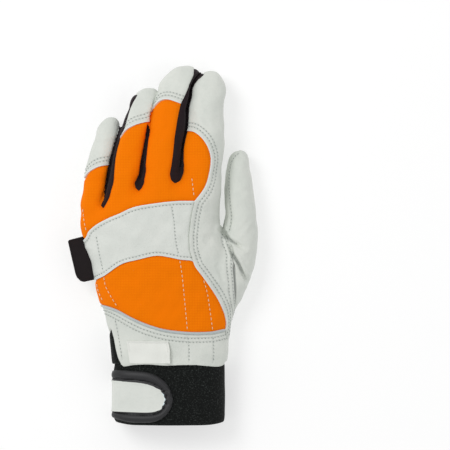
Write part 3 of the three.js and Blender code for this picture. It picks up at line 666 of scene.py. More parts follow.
# %% Black strips between the fingers
STRIPS_BACK = {
    "little": [
        (156.2, -47.6, -47.2), (158.4, -48.8, -45.9), (163.4, -46.9, -43.2), (169.2, -45.7, -41.6),
        (178.0, -44.6, -39.9), (190.1, -42.5, -39.0), (194.0, -41.2, -38.4), (199.4, -39.8, -37.4),
        (203.0, -39.0, -36.4), (207.4, -37.8, -35.2), (211.7, -36.5, -33.3), (216.0, -35.4, -32.1),
        (222.0, -33.6, -30.2), (225.5, -31.8, -29.4), (227.0, -31.8, -29.0), (228.6, -31.8, -28.3),
        (233.0, -30.0, -26.2), (236.0, -30.0, -24.4), (238.0, -30.0, -23.4), (239.0, -30.0, -24.0),
    ],
    "ring": [
        (168.9, -21.8, -21.4), (171.0, -23.6, -19.6), (174.2, -24.1, -18.2), (180.0, -20.9, -17.8),
        (188.8, -19.8, -17.0), (199.4, -17.8, -15.9), (207.0, -16.5, -15.0), (211.0, -15.9, -14.6),
        (214.4, -15.3, -14.3), (216.4, -14.8, -14.3),
    ],
    "middle": [
        (174.2, 4.4, 5.6), (176.0, 2.2, 8.2), (180.0, 1.2, 9.6), (187.2, 2.4, 10.0), (198.0, 3.6, 10.1),
        (205.2, 4.3, 11.3), (213.1, 5.4, 13.0), (220.0, 6.4, 13.5), (228.2, 8.0, 13.4),
        (231.1, 8.6, 14.2), (236.2, 11.2, 15.7), (241.9, 13.8, 16.1), (245.5, 15.1, 17.6),
        (249.1, 16.7, 20.3), (252.6, 18.0, 24.4), (257.0, 18.3, 24.8), (259.5, 18.6, 24.8),
    ],
}
STRIPS_PALM = {
    "little": [(165.0, 0.0), (167.5, 2.6), (180.0, 3.0), (200.0, 2.8), (214.0, 1.4), (222.0, 0.4)],
    "ring": [(177.0, 0.0), (179.5, 1.9), (195.0, 1.3), (215.0, 1.0), (232.0, 0.8), (242.0, 0.4)],
    "middle": [(183.0, 0.0), (190.0, 1.3), (205.0, 3.0), (225.0, 4.2), (245.0, 3.6), (254.0, 1.2)],
}

# %% [markdown]
# ## Side seams
# The back and the palm side of a glove meet along the flanks of the hand and of each finger. Their
# seam lies a little under half of the height.

# %% Which finger a point lies on, and the height of its side seam
SIDE_SEAM_SHARE = 0.4
FINGER_SEAM_FROM = -8
FINGER_SEAM_FULL = 18


def on_finger(part, name):
    """Below zero on one finger, above zero on the others, zero in the crease between them."""
    own = list(FINGERS).index(name)
    reach = part["reach"]
    return reach[:, own] - np.delete(reach, own, axis=1).min(1)


def side_seam(part):
    y = part["points"][:, 1]
    low, high = read(HAND_HEIGHTS, y, 1), read(HAND_HEIGHTS, y, 2)
    seam = low + SIDE_SEAM_SHARE * (high - low)
    zone = part["reach"].argmin(1)
    for number, finger in enumerate(FINGERS.values()):
        middle, _ = sag(finger, y)
        share = ease(y, finger["root"] + FINGER_SEAM_FROM, finger["root"] + FINGER_SEAM_FULL)
        here = zone == number
        seam[here] = (seam * (1 - share) + middle * share)[here]
    return seam


def back_of(part, value):
    return np.maximum(value, side_seam(part) - part["points"][:, 2])


# %% [markdown]
# A strip joins four fields: its outline on the back, the two walls that face each other between the
# fingers, and a narrow band on the palm side. The walls reach down to a floor on the palm side, so
# no orange or leather shows deep between two fingers.

# %% Field of a strip
STRIP_FLOOR = 0.55
WALL_LAP = 0.2
WALL_DROP = 2.0
WALL_START = 6
WALL_END = 5
NO_LIMIT = 1e3
UNDERSIDE_TILT = -0.25


def middle_of(finger, y):
    return (read(finger["rows"], y, 1) + read(finger["rows"], y, 2)) / 2


def strip_value(part, name):
    """Below zero on the strip between a finger and the next one toward the thumb."""
    near, far = FINGERS[name], FINGERS[dict(PAIRS)[name]]
    x, y, z = part["points"].T
    rows = np.array(STRIPS_BACK[name])
    first, last = rows[0, 0], rows[-1, 0]
    left, right = (np.interp(y, rows[:, 0], rows[:, k]) for k in (1, 2))
    beneath = (UNDERSIDE_TILT - part["normals"][:, 2]) * 4
    on_back = np.maximum.reduce([left - x, x - right, first - y, y - last, beneath])
    floor = np.mean([m - STRIP_FLOOR * h for m, h in (sag(near, y), sag(far, y))], axis=0)
    order = list(FINGERS)
    apart = part["reach"][:, order.index(name)] - part["reach"][:, order.index(name) + 1]
    ends = np.maximum.reduce([floor - z, near["root"] + WALL_START - y, y - far["tip"][1] + WALL_END])
    right = np.where(y > last, -NO_LIMIT, right)
    lower = np.where(y > last, WALL_DROP, 0)
    below_far = z - top_height(far, right, y) + lower
    far_wall = np.maximum.reduce([below_far, -apart - WALL_LAP, x - middle_of(far, y), ends])
    below_near = z - top_height(near, NO_LIMIT, y) + WALL_DROP
    near_wall = np.maximum.reduce([below_near, apart - WALL_LAP, middle_of(near, y) - x, ends])
    gap = (read(near["rows"], y, 2) + front_edge(far, y)) / 2
    past_near = y > near["tip"][1] - 1
    gap = np.where(past_near, front_edge(far, y), gap)
    width = STRIPS_PALM[name]
    on_palm = np.maximum(np.abs(x - gap) - read(width, y, 1), width[0][0] - y)
    on_palm = np.maximum.reduce([on_palm, y - width[-1][0], z - floor - 2])
    return np.minimum.reduce([on_back, far_wall, near_wall, on_palm])


# %% [markdown]
# The band and the panels are closed outlines on the back. The upper orange panel is simply what the
# other pieces leave of the fingers' backs, down to a line below the band, and a round lobe on the
# index finger. A cap has one edge across its own finger.

# %% Fields of the band, the panels and the caps
PANEL_FLOOR = 118.0


def band_value(part):
    outline = np.vstack([smooth_rows(BAND_TOP), BAND_END[1:-1], smooth_rows(BAND_BOTTOM)])
    return back_of(part, plan_shape(part, outline))


def panel_value(part):
    top, side, bottom = (smooth_rows(rows) for rows in (BAND_BOTTOM, PANEL_SIDE, PANEL_BOTTOM))
    return back_of(part, plan_shape(part, np.vstack([top[::-1], side[1:], bottom[1:]])))


def cap_value(part, name):
    """Below zero on the fingertip side of a finger's cap edge, on that finger alone."""
    points = part["points"]
    line = smooth_rows(CAP_EDGES[name])
    distance, toward = from_line(points, line)
    distance = on_slope(distance, toward, part["normals"])
    height = np.interp(points[:, 0], line[:, 0], line[:, 1])
    value = np.where(points[:, 1] > height, -distance, distance)
    return np.maximum(value, on_finger(part, name))


def lobe_value(part):
    """The upper panel: all that is left of the fingers' backs, and a round lobe on the index finger."""
    line = np.vstack([smooth_rows(INDEX_LOBE), [(-80.0, 120.0), (-80.0, 211.0)]])
    index = on_finger(part, "index")
    lobe = np.maximum(plan_shape(part, line), index)
    return np.minimum(lobe, np.maximum(PANEL_FLOOR - part["points"][:, 1], -index))


# %% [markdown]
# The thumb is set into the palm like a sleeve: an oval seam in the palm that runs round the thumb's
# root and up to the crotch between thumb and index finger. The back's line and the palm's line fade
# into each other over the flank.

# %% The thumb's seam and the wrist's slit
FINGER_GAP = [
    (90.0, 204.0), (50.0, 202.2), (45.0, 199.6), (41.6, 193.4), (40.1, 186.6), (38.9, 176.4),
    (38.2, 164.0),
]
THUMB_BACK = FINGER_GAP + [
    (37.6, 154.0), (37.2, 146.4), (38.4, 140.4), (42.2, 134.6), (44.8, 128.0), (46.2, 121.2),
    (46.7, 113.2), (47.7, 102.8), (48.1, 94.8), (48.8, 85.0), (51.0, 77.0), (60.0, 70.0), (90.0, 66.0),
]
THUMB_PALM = FINGER_GAP + [
    (38.0, 150.0), (35.6, 138.4), (28.0, 130.2), (14.0, 128.6), (0.0, 124.0), (-11.0, 115.5),
    (-18.6, 99.0), (-17.0, 84.0), (-6.0, 73.2), (12.0, 69.0), (30.0, 72.4), (46.0, 77.6),
    (60.0, 75.0), (90.0, 72.0),
]
THUMB_SEAM_HEIGHT = 11.0
THUMB_SEAM_BLEND = 8
SLIT_EDGE = [
    (-42.2, 68.8), (-41.6, 66.6), (-40.2, 61.2), (-38.8, 54.0), (-37.2, 48.2), (-34.6, 43.0),
    (-33.0, 36.0),
]
SLIT_FLOOR = 8.0


def thumb_value(part):
    back = plan_shape(part, smooth_rows(THUMB_BACK, 6))
    palm = plan_shape(part, smooth_rows(THUMB_PALM, 6))
    low, high = THUMB_SEAM_HEIGHT - THUMB_SEAM_BLEND, THUMB_SEAM_HEIGHT + THUMB_SEAM_BLEND
    share = ease(part["points"][:, 2], low, high)
    return back * share + palm * (1 - share)


def slit_value(part):
    line = smooth_rows(SLIT_EDGE)
    outline = np.vstack([line, [(-80.0, 36.0), (-80.0, 60.0), (-44.0, 60.0), (-43.4, 66.0)]])
    return np.maximum(plan_shape(part, outline), SLIT_FLOOR - part["points"][:, 2])


def wrist_value(part):
    line = smooth_rows(PANEL_BOTTOM)
    outline = np.vstack([line, [(-70.0, 30.0), (44.0, 30.0), (43.2, 60.0)]])
    return back_of(part, plan_shape(part, outline))


# %% [markdown]
# ## Cutting the pieces out
# The leather's lower edge is cut a little unevenly over the cuff, and the skin below it is dropped.
# After that each piece is taken in turn, and what is left at the end is the palm leather, which wraps
# round the index finger's side.

# %% Take the pieces one by one
HEM = [
    (-60.0, 43.6), (-36.7, 43.9), (-32.4, 42.4), (-24.5, 43.6), (-13.7, 43.9), (-2.9, 43.3),
    (15.1, 43.7), (25.9, 43.0), (35.3, 42.2), (39.6, 43.4), (42.5, 46.0), (60.0, 46.6),
]
hem_line = smooth_rows(HEM)
hem_height = np.interp(skin["points"][:, 0], hem_line[:, 0], hem_line[:, 1])
_, rest = split(skin, skin["points"][:, 1] - hem_height)

cut = {}
for name in STRIPS_BACK:
    cut["strip_" + name], rest = split(rest, strip_value(rest, name))
cut["band"], rest = split(rest, band_value(rest))
cut["panel"], rest = split(rest, panel_value(rest))
for name in CAP_EDGES:
    cut["cap_" + name], rest = split(rest, back_of(rest, cap_value(rest, name)))
cut["knuckles"], rest = split(rest, back_of(rest, lobe_value(rest)))
cut["slit"], rest = split(rest, slit_value(rest))
cut["wrist"], rest = split(rest, wrist_value(rest))
cut["thumb"], rest = split(rest, thumb_value(rest))
cut["palm"] = rest
print({name: len(part["faces"]) for name, part in cut.items()})

# %% [markdown]
# ## Colours and nodes
# Colours are sRGB hex values, as a colour picker shows them; Blender's shaders want linear light. All
# finishes here are cloth, hide, foam or thread, so none is metallic and all keep the usual IOR of 1.5.

# %% Small helpers for materials
def linear(hex_colour):
    parts = [int(hex_colour[k:k + 2], 16) / 255 for k in (1, 3, 5)]
    return tuple(v / 12.92 if v <= 0.04045 else ((v + 0.055) / 1.055) ** 2.4 for v in parts) + (1.0,)


def new_material(name, hex_colour, roughness, sheen=0.0, specular=0.5):
    made = bpy.data.materials.new(name)
    made.use_nodes = True
    made.diffuse_color = linear(hex_colour)
    shader = made.node_tree.nodes["Principled BSDF"]
    shader.inputs["Base Color"].default_value = linear(hex_colour)
    shader.inputs["Roughness"].default_value = roughness
    shader.inputs["Sheen Weight"].default_value = sheen
    shader.inputs["Sheen Roughness"].default_value = 0.5
    shader.inputs["Specular IOR Level"].default_value = specular
    return made


def add(tree, kind, settings, out):
    """Adds a node, sets or links each named setting, and gives back the named output."""
    node = tree.nodes.new(kind)
    sockets = {socket.identifier: socket for socket in node.inputs}
    for key, value in settings.items():
        if hasattr(node, key):
            setattr(node, key, value)
        elif isinstance(value, bpy.types.NodeSocket):
            tree.links.new(value, sockets[key])
        else:
            sockets[key].default_value = value
    return {socket.identifier: socket for socket in node.outputs}[out]


# %% [markdown]
# ## Goatskin
# Pale goatskin is tanned and lightly pigmented: matt, with a fine pebbled grain of about a millimetre
# and soft grey clouds. Grain cells come from a Voronoi texture and finer noise, both only as bump. Cut
# edges show the brighter, bluish inside of the hide. Thread rows press the surface in and carry a
# little
# painted shade, and sharp folds get a dark painted shade. Those three follow attributes on the mesh:
# millimetres to the cut edge, to the nearest row of thread and to the nearest sharp fold.

# %% Coordinates in millimetres, closeness to a line, and the final surface
def in_mm(tree):
    place = add(tree, "ShaderNodeTexCoord", {}, "Object")
    settings = {"operation": "SCALE", "Vector": place, "Scale": 1 / MM}
    return add(tree, "ShaderNodeVectorMath", settings, "Vector")


def closeness(tree, attribute, reach, most=1.0):
    """`most` on the line that the attribute measures from, and 0 from `reach` millimetres on."""
    away = add(tree, "ShaderNodeAttribute", {"attribute_name": attribute}, "Fac")
    return add(tree, "ShaderNodeMapRange", {
        "interpolation_type": "SMOOTHSTEP", "Value": away, "From Min": 0.0, "From Max": reach,
        "To Min": most, "To Max": 0.0,
    }, "Result")


def finish_surface(tree, colour, layers):
    """Colours the shader and lays relief on it; a layer is a height from 0 to 1 and its depth in mm."""
    shader = tree.nodes["Principled BSDF"]
    tree.links.new(colour, shader.inputs["Base Color"])
    settings = {}
    for height, depth in layers:
        settings.update({"Strength": 1.0, "Height": height, "Distance": depth * MM})
        settings["Normal"] = add(tree, "ShaderNodeBump", settings, "Normal")
    tree.links.new(settings["Normal"], shader.inputs["Normal"])


# %% [markdown]
# The pebbles of goat grain are 0.5 to 1 mm across. They are drawn at 1.1 mm, the finest that a
# picture still shows. Wrinkles of the hide are a few millimetres apart, dents from handling about
# 7 mm and clouds in the colour about 2 cm.

# %% Leather of the palm, thumb, fingertips and wrist
GRAIN_MM = 1.1
WRINKLE_MM = 3.2
WEAR_MM = 5.0
DENT_MM = 7.0
CLOUD_MM = 22.0
THREAD_REACH_MM = 0.8
# Tints along lines: a little painted shade along rows of thread, the hide's own brighter colour at cut
# edges, and a dark painted shade in sharp folds.
LINE_TINTS = [
    ("row", THREAD_REACH_MM, 0.12, "#8E9896"),
    ("raw", 0.75, 1.0, None),
    ("crease", 1.1, 0.62, "#5C6462"),
]


def grained_leather(name, light, shade, rim, roughness):
    made_leather = new_material(name, light, roughness, 0.05, 0.35)
    tree = made_leather.node_tree
    place = in_mm(tree)
    cloud = add(tree, "ShaderNodeTexNoise", {
        "Vector": place, "Scale": 1 / CLOUD_MM, "Detail": 4.0,
    }, "Fac")
    soft = add(tree, "ShaderNodeMapRange", {
        "Value": cloud, "From Min": 0.35, "From Max": 0.75,
    }, "Result")
    worn = add(tree, "ShaderNodeTexNoise", {
        "Vector": place, "Scale": 1 / WEAR_MM, "Detail": 5.0, "Distortion": 0.6,
    }, "Fac")
    worn = add(tree, "ShaderNodeMapRange", {
        "Value": worn, "From Min": 0.5, "From Max": 0.8, "To Max": 0.5,
    }, "Result")
    colour = add(tree, "ShaderNodeMix", {
        "data_type": "RGBA", "Factor_Float": soft, "A_Color": linear(light), "B_Color": linear(shade),
    }, "Result_Color")
    colour = add(tree, "ShaderNodeMix", {
        "data_type": "RGBA", "Factor_Float": worn, "A_Color": colour, "B_Color": linear(shade),
    }, "Result_Color")
    # Painted shade along thread rows and in sharp folds; the cut edge takes the hide's own colour.
    for attribute, reach, most, tint in LINE_TINTS:
        near = closeness(tree, attribute, reach, most)
        tint = linear(tint or rim)
        colour = add(tree, "ShaderNodeMix", {
            "data_type": "RGBA", "Factor_Float": near, "A_Color": colour, "B_Color": tint,
        }, "Result_Color")
    dents = add(tree, "ShaderNodeTexNoise", {
        "Vector": place, "Scale": 1 / DENT_MM, "Detail": 3.0,
    }, "Fac")
    wrinkles = add(tree, "ShaderNodeTexNoise", {
        "Vector": place, "Scale": 1 / WRINKLE_MM, "Distortion": 1.5,
    }, "Fac")
    wrinkles = add(tree, "ShaderNodeMapRange", {
        "Value": wrinkles, "From Min": 0.42, "From Max": 0.5,
    }, "Result")
    grain = add(tree, "ShaderNodeTexVoronoi", {"Vector": place, "Scale": 1 / GRAIN_MM}, "Distance")
    finish_surface(tree, colour, [
        (dents, 0.5), (wrinkles, 0.05), (grain, 0.07),
        (closeness(tree, "row", THREAD_REACH_MM), -0.25), (closeness(tree, "crease", 1.3), -0.9),
    ])
    return made_leather


leather = grained_leather("goat_leather_grained", "#DDE0D9", "#D1D6CF", "#E2F1F6", 0.58)
band_leather = grained_leather("split_leather_white", "#E0E3DD", "#D6DAD4", "#DDF2F8", 0.66)
print("leathers:", leather.name, band_leather.name)

# %% [markdown]
# ## Orange cloth
# The back panels are a stretch canvas over padding: round yarns that cross at right angles, a bit
# under a millimetre apart. At the photo's size one yarn is one pixel, so the weave is drawn 1.15 mm
# apart to be seen at all. The gaps between the yarns are painted darker than their tops, as painted
# shade, and rows of thread get the same painted shade. The weave is laid on the plan, so it fades where
# a wall turns away from it. A wave texture makes one wave in 20 / (2 pi) units at scale 1, which gives
# its scale for a spacing in millimetres.

# %% Woven stretch cloth from two crossing waves
YARN_MM = 1.15
PATCH_MM = 26.0
PUCKER_MM = 9.0
THREAD_DENT_MM = 0.7
WAVE_PER_MM = 2 * math.pi / 20.0


def woven_cloth(name, top, gap, roughness, spacing, depth, sheen=0.0, patch=None):
    cloth = new_material(name, top, roughness, sheen, 0.06)
    tree = cloth.node_tree
    place = in_mm(tree)
    yarns = {
        "Vector": place, "Scale": WAVE_PER_MM / spacing, "Distortion": 0.4, "Detail": 1.0,
        "Detail Scale": 0.4,
    }
    warp = add(tree, "ShaderNodeTexWave", {"bands_direction": "X", **yarns}, "Fac")
    weft = add(tree, "ShaderNodeTexWave", {"bands_direction": "Y", **yarns}, "Fac")
    height = add(tree, "ShaderNodeMath", {
        "operation": "MULTIPLY", "Value": warp, "Value_001": weft,
    }, "Value")
    facing = add(tree, "ShaderNodeNewGeometry", {}, "Normal")
    facing = add(tree, "ShaderNodeSeparateXYZ", {"Vector": facing}, "Z")
    facing = add(tree, "ShaderNodeMapRange", {
        "Value": facing, "From Min": 0.45, "From Max": 0.85,
    }, "Result")
    height = add(tree, "ShaderNodeMix", {
        "Factor_Float": facing, "A_Float": 0.3, "B_Float": height,
    }, "Result_Float")
    # Painted shade: the gaps between the yarns are coloured darker than the yarns' tops.
    tops = add(tree, "ShaderNodeMapRange", {"Value": height, "From Max": 0.5}, "Result")
    colour = add(tree, "ShaderNodeMix", {
        "data_type": "RGBA", "Factor_Float": tops, "A_Color": linear(gap), "B_Color": linear(top),
    }, "Result_Color")
    if patch:
        worn = add(tree, "ShaderNodeTexNoise", {
            "Vector": place, "Scale": 1 / PATCH_MM, "Detail": 3.0,
        }, "Fac")
        worn = add(tree, "ShaderNodeMapRange", {
            "Value": worn, "From Min": 0.42, "From Max": 0.68,
        }, "Result")
        colour = add(tree, "ShaderNodeMix", {
            "data_type": "RGBA", "Factor_Float": worn, "A_Color": colour, "B_Color": linear(patch),
        }, "Result_Color")
    # Painted shade along rows of thread, in the gap colour.
    by_thread = closeness(tree, "row", THREAD_DENT_MM, 0.3)
    colour = add(tree, "ShaderNodeMix", {
        "data_type": "RGBA", "Factor_Float": by_thread, "A_Color": colour, "B_Color": linear(gap),
    }, "Result_Color")
    puckers = add(tree, "ShaderNodeTexNoise", {
        "Vector": place, "Scale": 1 / PUCKER_MM, "Detail": 3.0,
    }, "Fac")
    dent = closeness(tree, "row", THREAD_DENT_MM)
    finish_surface(tree, colour, [(puckers, 0.7), (height, depth), (dent, -0.3)])
    return cloth


orange = woven_cloth("stretch_canvas_orange", "#FD8600", "#F27300", 0.8, YARN_MM, 0.08, 0.0, "#F97B00")
stretch = woven_cloth("elastane_black", "#2C2226", "#1E171A", 0.6, 0.9, 0.05, 0.1)
tape_black = woven_cloth("woven_tape_black", "#2A2425", "#191516", 0.55, 0.8, 0.08, 0.1)
tape_white = woven_cloth("woven_satin_white", "#EFF0EA", "#E4E6E0", 0.4, 0.7, 0.03)
piping_cord = woven_cloth("satin_piping_silver", "#D3D9DA", "#AAB4B6", 0.35, 0.8, 0.08)
print("cloths:", orange.name, stretch.name, tape_black.name, tape_white.name, piping_cord.name)

# %% [markdown]
# ## Loop cloth, binding and thread
# The cuff is foam rubber faced with fine black loops; the glints of light on them are painted as tiny
# grey specks. Real loops are about 0.4 mm wide; the specks and the fuzz are drawn a bit under a
# millimetre apart, so that they show. The strap's binding is a smooth tape rolled over a cord, with
# ribs 0.9 mm apart whose hollows get painted shade. Thread is twisted polyester, two turns to a
# millimetre, with painted shade in its twist: grey on the leather, cream on the orange. Rows of thread
# on the binding get painted shade too.

# %% The remaining finishes
SPECKS_PER_MM = 1.2
FUZZ_PER_MM = 1.1
CUFF_DENT_MM = 8.0
TAPE_DENT_MM = 5.0


def loop_cloth(name, base, speck):
    cloth = new_material(name, base, 0.95, 0.06, 0.1)
    tree = cloth.node_tree
    place = in_mm(tree)
    # Painted glints: grey specks where the black loops would catch the light.
    specks = add(tree, "ShaderNodeTexNoise", {
        "Vector": place, "Scale": SPECKS_PER_MM, "Roughness": 0.6,
    }, "Fac")
    specks = add(tree, "ShaderNodeMapRange", {
        "Value": specks, "From Min": 0.54, "From Max": 0.72,
    }, "Result")
    colour = add(tree, "ShaderNodeMix", {
        "data_type": "RGBA", "Factor_Float": specks, "A_Color": linear(base), "B_Color": linear(speck),
    }, "Result_Color")
    fuzz = add(tree, "ShaderNodeTexNoise", {
        "Vector": place, "Scale": FUZZ_PER_MM, "Detail": 4.0,
    }, "Fac")
    dents = add(tree, "ShaderNodeTexNoise", {
        "Vector": place, "Scale": 1 / CUFF_DENT_MM, "Detail": 3.0,
    }, "Fac")
    finish_surface(tree, colour, [(fuzz, 0.45), (dents, 0.4)])
    return cloth


def fine_ribs(name, base, dark, spacing, roughness):
    tape = new_material(name, base, roughness, 0.0, 0.4)
    tree = tape.node_tree
    place = in_mm(tree)
    ribs = add(tree, "ShaderNodeTexWave", {
        "Vector": place, "bands_direction": "DIAGONAL", "Scale": WAVE_PER_MM / spacing,
        "Distortion": 0.8,
    }, "Fac")
    # Painted shade in the hollows between the ribs.
    colour = add(tree, "ShaderNodeMix", {
        "data_type": "RGBA", "Factor_Float": ribs, "A_Color": linear(dark), "B_Color": linear(base),
    }, "Result_Color")
    # Painted shade along rows of thread.
    by_thread = closeness(tree, "row", THREAD_DENT_MM, 0.6)
    colour = add(tree, "ShaderNodeMix", {
        "data_type": "RGBA", "Factor_Float": by_thread, "A_Color": colour, "B_Color": linear(dark),
    }, "Result_Color")
    dents = add(tree, "ShaderNodeTexNoise", {
        "Vector": place, "Scale": 1 / TAPE_DENT_MM, "Detail": 3.0,
    }, "Fac")
    dent = closeness(tree, "row", THREAD_DENT_MM)
    finish_surface(tree, colour, [(ribs, 0.03), (dents, 0.2), (dent, -0.3)])
    return tape


neoprene = loop_cloth("foam_rubber_loop_black", "#131514", "#3C403E")
binding_tape = fine_ribs("binding_tape_black", "#2C2C2E", "#202022", 0.9, 0.5)
thread_grey = fine_ribs("polyester_thread_grey", "#ABB2AE", "#8B928F", 0.5, 0.6)
thread_cream = fine_ribs("polyester_thread_cream", "#FBE6C0", "#E2BE86", 0.5, 0.6)
thread_black = fine_ribs("polyester_thread_black", "#1B1B1C", "#0E0E0F", 0.5, 0.5)
print("materials in all:", len(bpy.data.materials))

# %% [markdown]
# ## From cut skin to a sewn piece
# A piece has an outer face that follows the skin plus its own relief, an inner face one leather
# thickness below, and walls round its edge. How its edge behaves depends on the seam: a lapped edge
# lies on its neighbour and shows the cut hide, the piece under it dives away, and a turned seam has
# both edges rolled inward. The kind is looked up by which neighbour shares the seam's points.

# %% Close a piece into a solid
def open_edges(faces):
    edges = triangle_edges(faces)
    key = np.sort(edges, axis=1)
    _, first, count = np.unique(key, axis=0, return_index=True, return_counts=True)
    return edges[first[count == 1]]


def shell(points, normals, faces, relief, wall):
    outer = points + normals * relief[:, None]
    inner = points - normals * wall
    number = len(points)
    edges = open_edges(faces)
    walls = np.vstack([
        np.c_[edges[:, 1], edges[:, 0], edges[:, 0] + number],
        np.c_[edges[:, 1], edges[:, 0] + number, edges[:, 1] + number],
    ])
    return np.vstack([outer, inner]), np.vstack([faces, faces[:, ::-1] + number, walls])


# %% [markdown]
# Every piece carries three numbers at each point, in millimetres: how far it is to a row of thread, to
# a cut edge and to a sharp fold. The materials read them. A piece without such a line says far away.

# %% Make the Blender object of a piece
FAR = 99.0
SHARP_ANGLE = 50


def make_object(name, points, faces, material, layers=None):
    mesh = bpy.data.meshes.new(name)
    points = np.c_[points[:, :2], np.maximum(points[:, 2], 0)]
    mesh.from_pydata(to_frame(points).tolist(), [], np.asarray(faces).tolist())
    mesh.validate()
    far = np.full(len(points), FAR)
    for key, values in {"row": far, "raw": far, "crease": far, **(layers or {})}.items():
        layer = mesh.attributes.new(key, "FLOAT", "POINT")
        layer.data.foreach_set("value", np.asarray(values, np.float32))
    mesh.materials.append(material)
    mesh.polygons.foreach_set("use_smooth", [True] * len(mesh.polygons))
    mesh.set_sharp_from_angle(angle=math.radians(SHARP_ANGLE))
    made_object = bpy.data.objects.new(name, mesh)
    bpy.context.scene.collection.objects.link(made_object)
    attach(made_object, "root")
    return made_object


# %% [markdown]
# Two pieces that were cut apart still have the seam's points in common. Looking for points at the same
# place finds the seam, and the distance to it gives the relief near it.

# %% Nearest distances, and seams shared with a neighbour
SAME_PLACE = 0.02


def nearest(points, targets):
    if not len(targets):
        return np.full(len(points), FAR)
    finder = KDTree(len(targets))
    for number, target in enumerate(targets):
        finder.insert(target, number)
    finder.balance()
    return np.array([finder.find(p)[2] for p in points])


def rim_of(part):
    return part["points"][np.unique(open_edges(part["faces"]))]


rims = {name: rim_of(part) for name, part in cut.items()}


def shares(points, others):
    """Which points lie on the rim of one of the other pieces."""
    return nearest(points, np.vstack([rims[other] for other in others])) < SAME_PLACE


def shared_rim(name, others):
    return rims[name][shares(rims[name], others)]


print("rim points:", {name: len(rim) for name, rim in rims.items()})


# %% [markdown]
# ## How each edge lies
# The table gives, for each piece, its rise above the skin and, for each neighbour, the kind of seam.
# Pads stand about a millimetre proud. Neighbours that aren't named meet in a turned seam.

# %% Seam kinds, as height in mm over distance from the seam in mm
SEAM_CURVES = {
    "lap": [(0.0, 0.55), (0.5, 0.75), (1.6, 0.5), (4.0, 0.12), (8.0, 0.0)],
    "under": [(0.0, -1.5), (0.7, -1.1), (2.2, -0.35), (5.0, 0.0)],
    "turn": [(0.0, -0.95), (0.4, -0.6), (1.2, -0.2), (2.8, 0.0)],
    "free": [(0.0, -0.25), (0.5, 0.05), (2.0, 0.1), (5.0, 0.0)],
}
ORANGE = ["knuckles", "panel"]
CAPS = ["cap_little", "cap_ring", "cap_middle"]
STRIPS = ["strip_little", "strip_ring", "strip_middle"]
EDGES = {
    "palm": (0.0, {"lap": ["knuckles", "band", "panel"]}),
    "thumb": (0.0, {}),
    "wrist": (0.0, {}),
    "slit": (0.2, {}),
    "knuckles": (0.75, {"under": ["band", "palm"] + CAPS + STRIPS}),
    "panel": (1.0, {"under": ["band", "palm", "wrist"]}),
    "band": (0.35, {"lap": ORANGE, "turn": ["palm"]}),
}
EDGES.update({cap: (0.1, {"lap": ["knuckles"]}) for cap in CAPS})
EDGES.update({strip: (-0.35, {}) for strip in STRIPS})
print("pieces with a lapped edge:", [name for name, (_, kinds) in EDGES.items() if "lap" in kinds])

# %% [markdown]
# The palm leather laps over the orange only on the thumb's half of the back, and a cap only along its
# own edge. Whatever is left of a rim is a free edge near the hem, and a turned seam elsewhere.

# %% Measure every seam and lay the relief
PALM_LAP_FROM = 5.0
CAP_EDGE_REACH = 0.8
HEM_REACH = 0.3


def seam_fields(name):
    """Millimetres from each kind of seam, over the piece's points."""
    base, kinds = EDGES[name]
    part = cut[name]
    used = np.zeros(len(rims[name]), bool)
    found = {}
    for kind, others in kinds.items():
        chosen = shares(rims[name], others)
        if name == "palm":
            chosen &= rims[name][:, 0] > PALM_LAP_FROM
        if name in CAPS:
            edge_line = smooth_rows(CAP_EDGES[name.removeprefix("cap_")])
            chosen &= from_line(rims[name], edge_line)[0] < CAP_EDGE_REACH
        found[kind] = rims[name][chosen & ~used]
        used |= chosen
    hem = np.interp(rims[name][:, 0], hem_line[:, 0], hem_line[:, 1])
    free = ~used & (rims[name][:, 1] < hem + HEM_REACH)
    found["free"] = rims[name][free]
    found["turn"] = np.vstack([found.get("turn", np.zeros((0, 3))), rims[name][~used & ~free]])
    distances = {kind: nearest(part["points"], rim) for kind, rim in found.items()}
    relief = np.full(len(part["points"]), base)
    for kind, distance in distances.items():
        relief += np.interp(distance, *np.array(SEAM_CURVES[kind]).T)
    distances["raw"] = np.full(len(part["points"]), FAR)
    if len(found.get("lap", [])):
        on_orange = shares(found["lap"], ORANGE)
        distances["raw"] = nearest(part["points"], found["lap"][on_orange])
    return relief, distances


for name in cut:
    relief, distances = seam_fields(name)
    cut[name].update(relief=relief, distances=distances)
    cut[name]["outer"] = cut[name]["points"] + cut[name]["normals"] * relief[:, None]
print("seams measured on", len(cut), "pieces")

# %% [markdown]
# ## Rows of thread
# A sewing machine keeps its distance from the edge, so most rows are level lines of the distance
# from a seam. They are traced on the piece's own triangles and then filled with one short stitch
# every 2.5 mm. Rows that cross the cloth freely are drawn on the plan and dropped onto the skin.

# %% Trace a level line over a piece
SHORTEST_ROW = 4


def level_rows(part, value, level, keep=None):
    faces, height = part["faces"], value - level
    above = height[faces] > 0
    crossed = faces[(above.sum(1) == 1) | (above.sum(1) == 2)]
    near, joined = {}, {}
    for face in crossed:
        keys = []
        for a, b in ((0, 1), (1, 2), (2, 0)):
            i, j = sorted((int(face[a]), int(face[b])))
            if (height[i] > 0) != (height[j] > 0):
                share = height[i] / (height[i] - height[j])
                place = part["outer"][i] * (1 - share) + part["outer"][j] * share
                turn = part["normals"][i] * (1 - share) + part["normals"][j] * share
                near[i, j] = (place, turn)
                keys.append((i, j))
        if keep is None or keep(near[keys[0]][0]):
            joined.setdefault(keys[0], []).append(keys[1])
            joined.setdefault(keys[1], []).append(keys[0])
    rows = []
    ends = [key for key, others in joined.items() if len(others) == 1]
    for start in ends + list(joined):
        row = []
        while start in joined:
            row.append(start)
            others = [o for o in joined.pop(start) if o in joined]
            start = others[0] if others else None
        if len(row) > SHORTEST_ROW:
            places, normals = zip(*(near[key] for key in row))
            rows.append((np.array(places), np.array(normals)))
    return rows


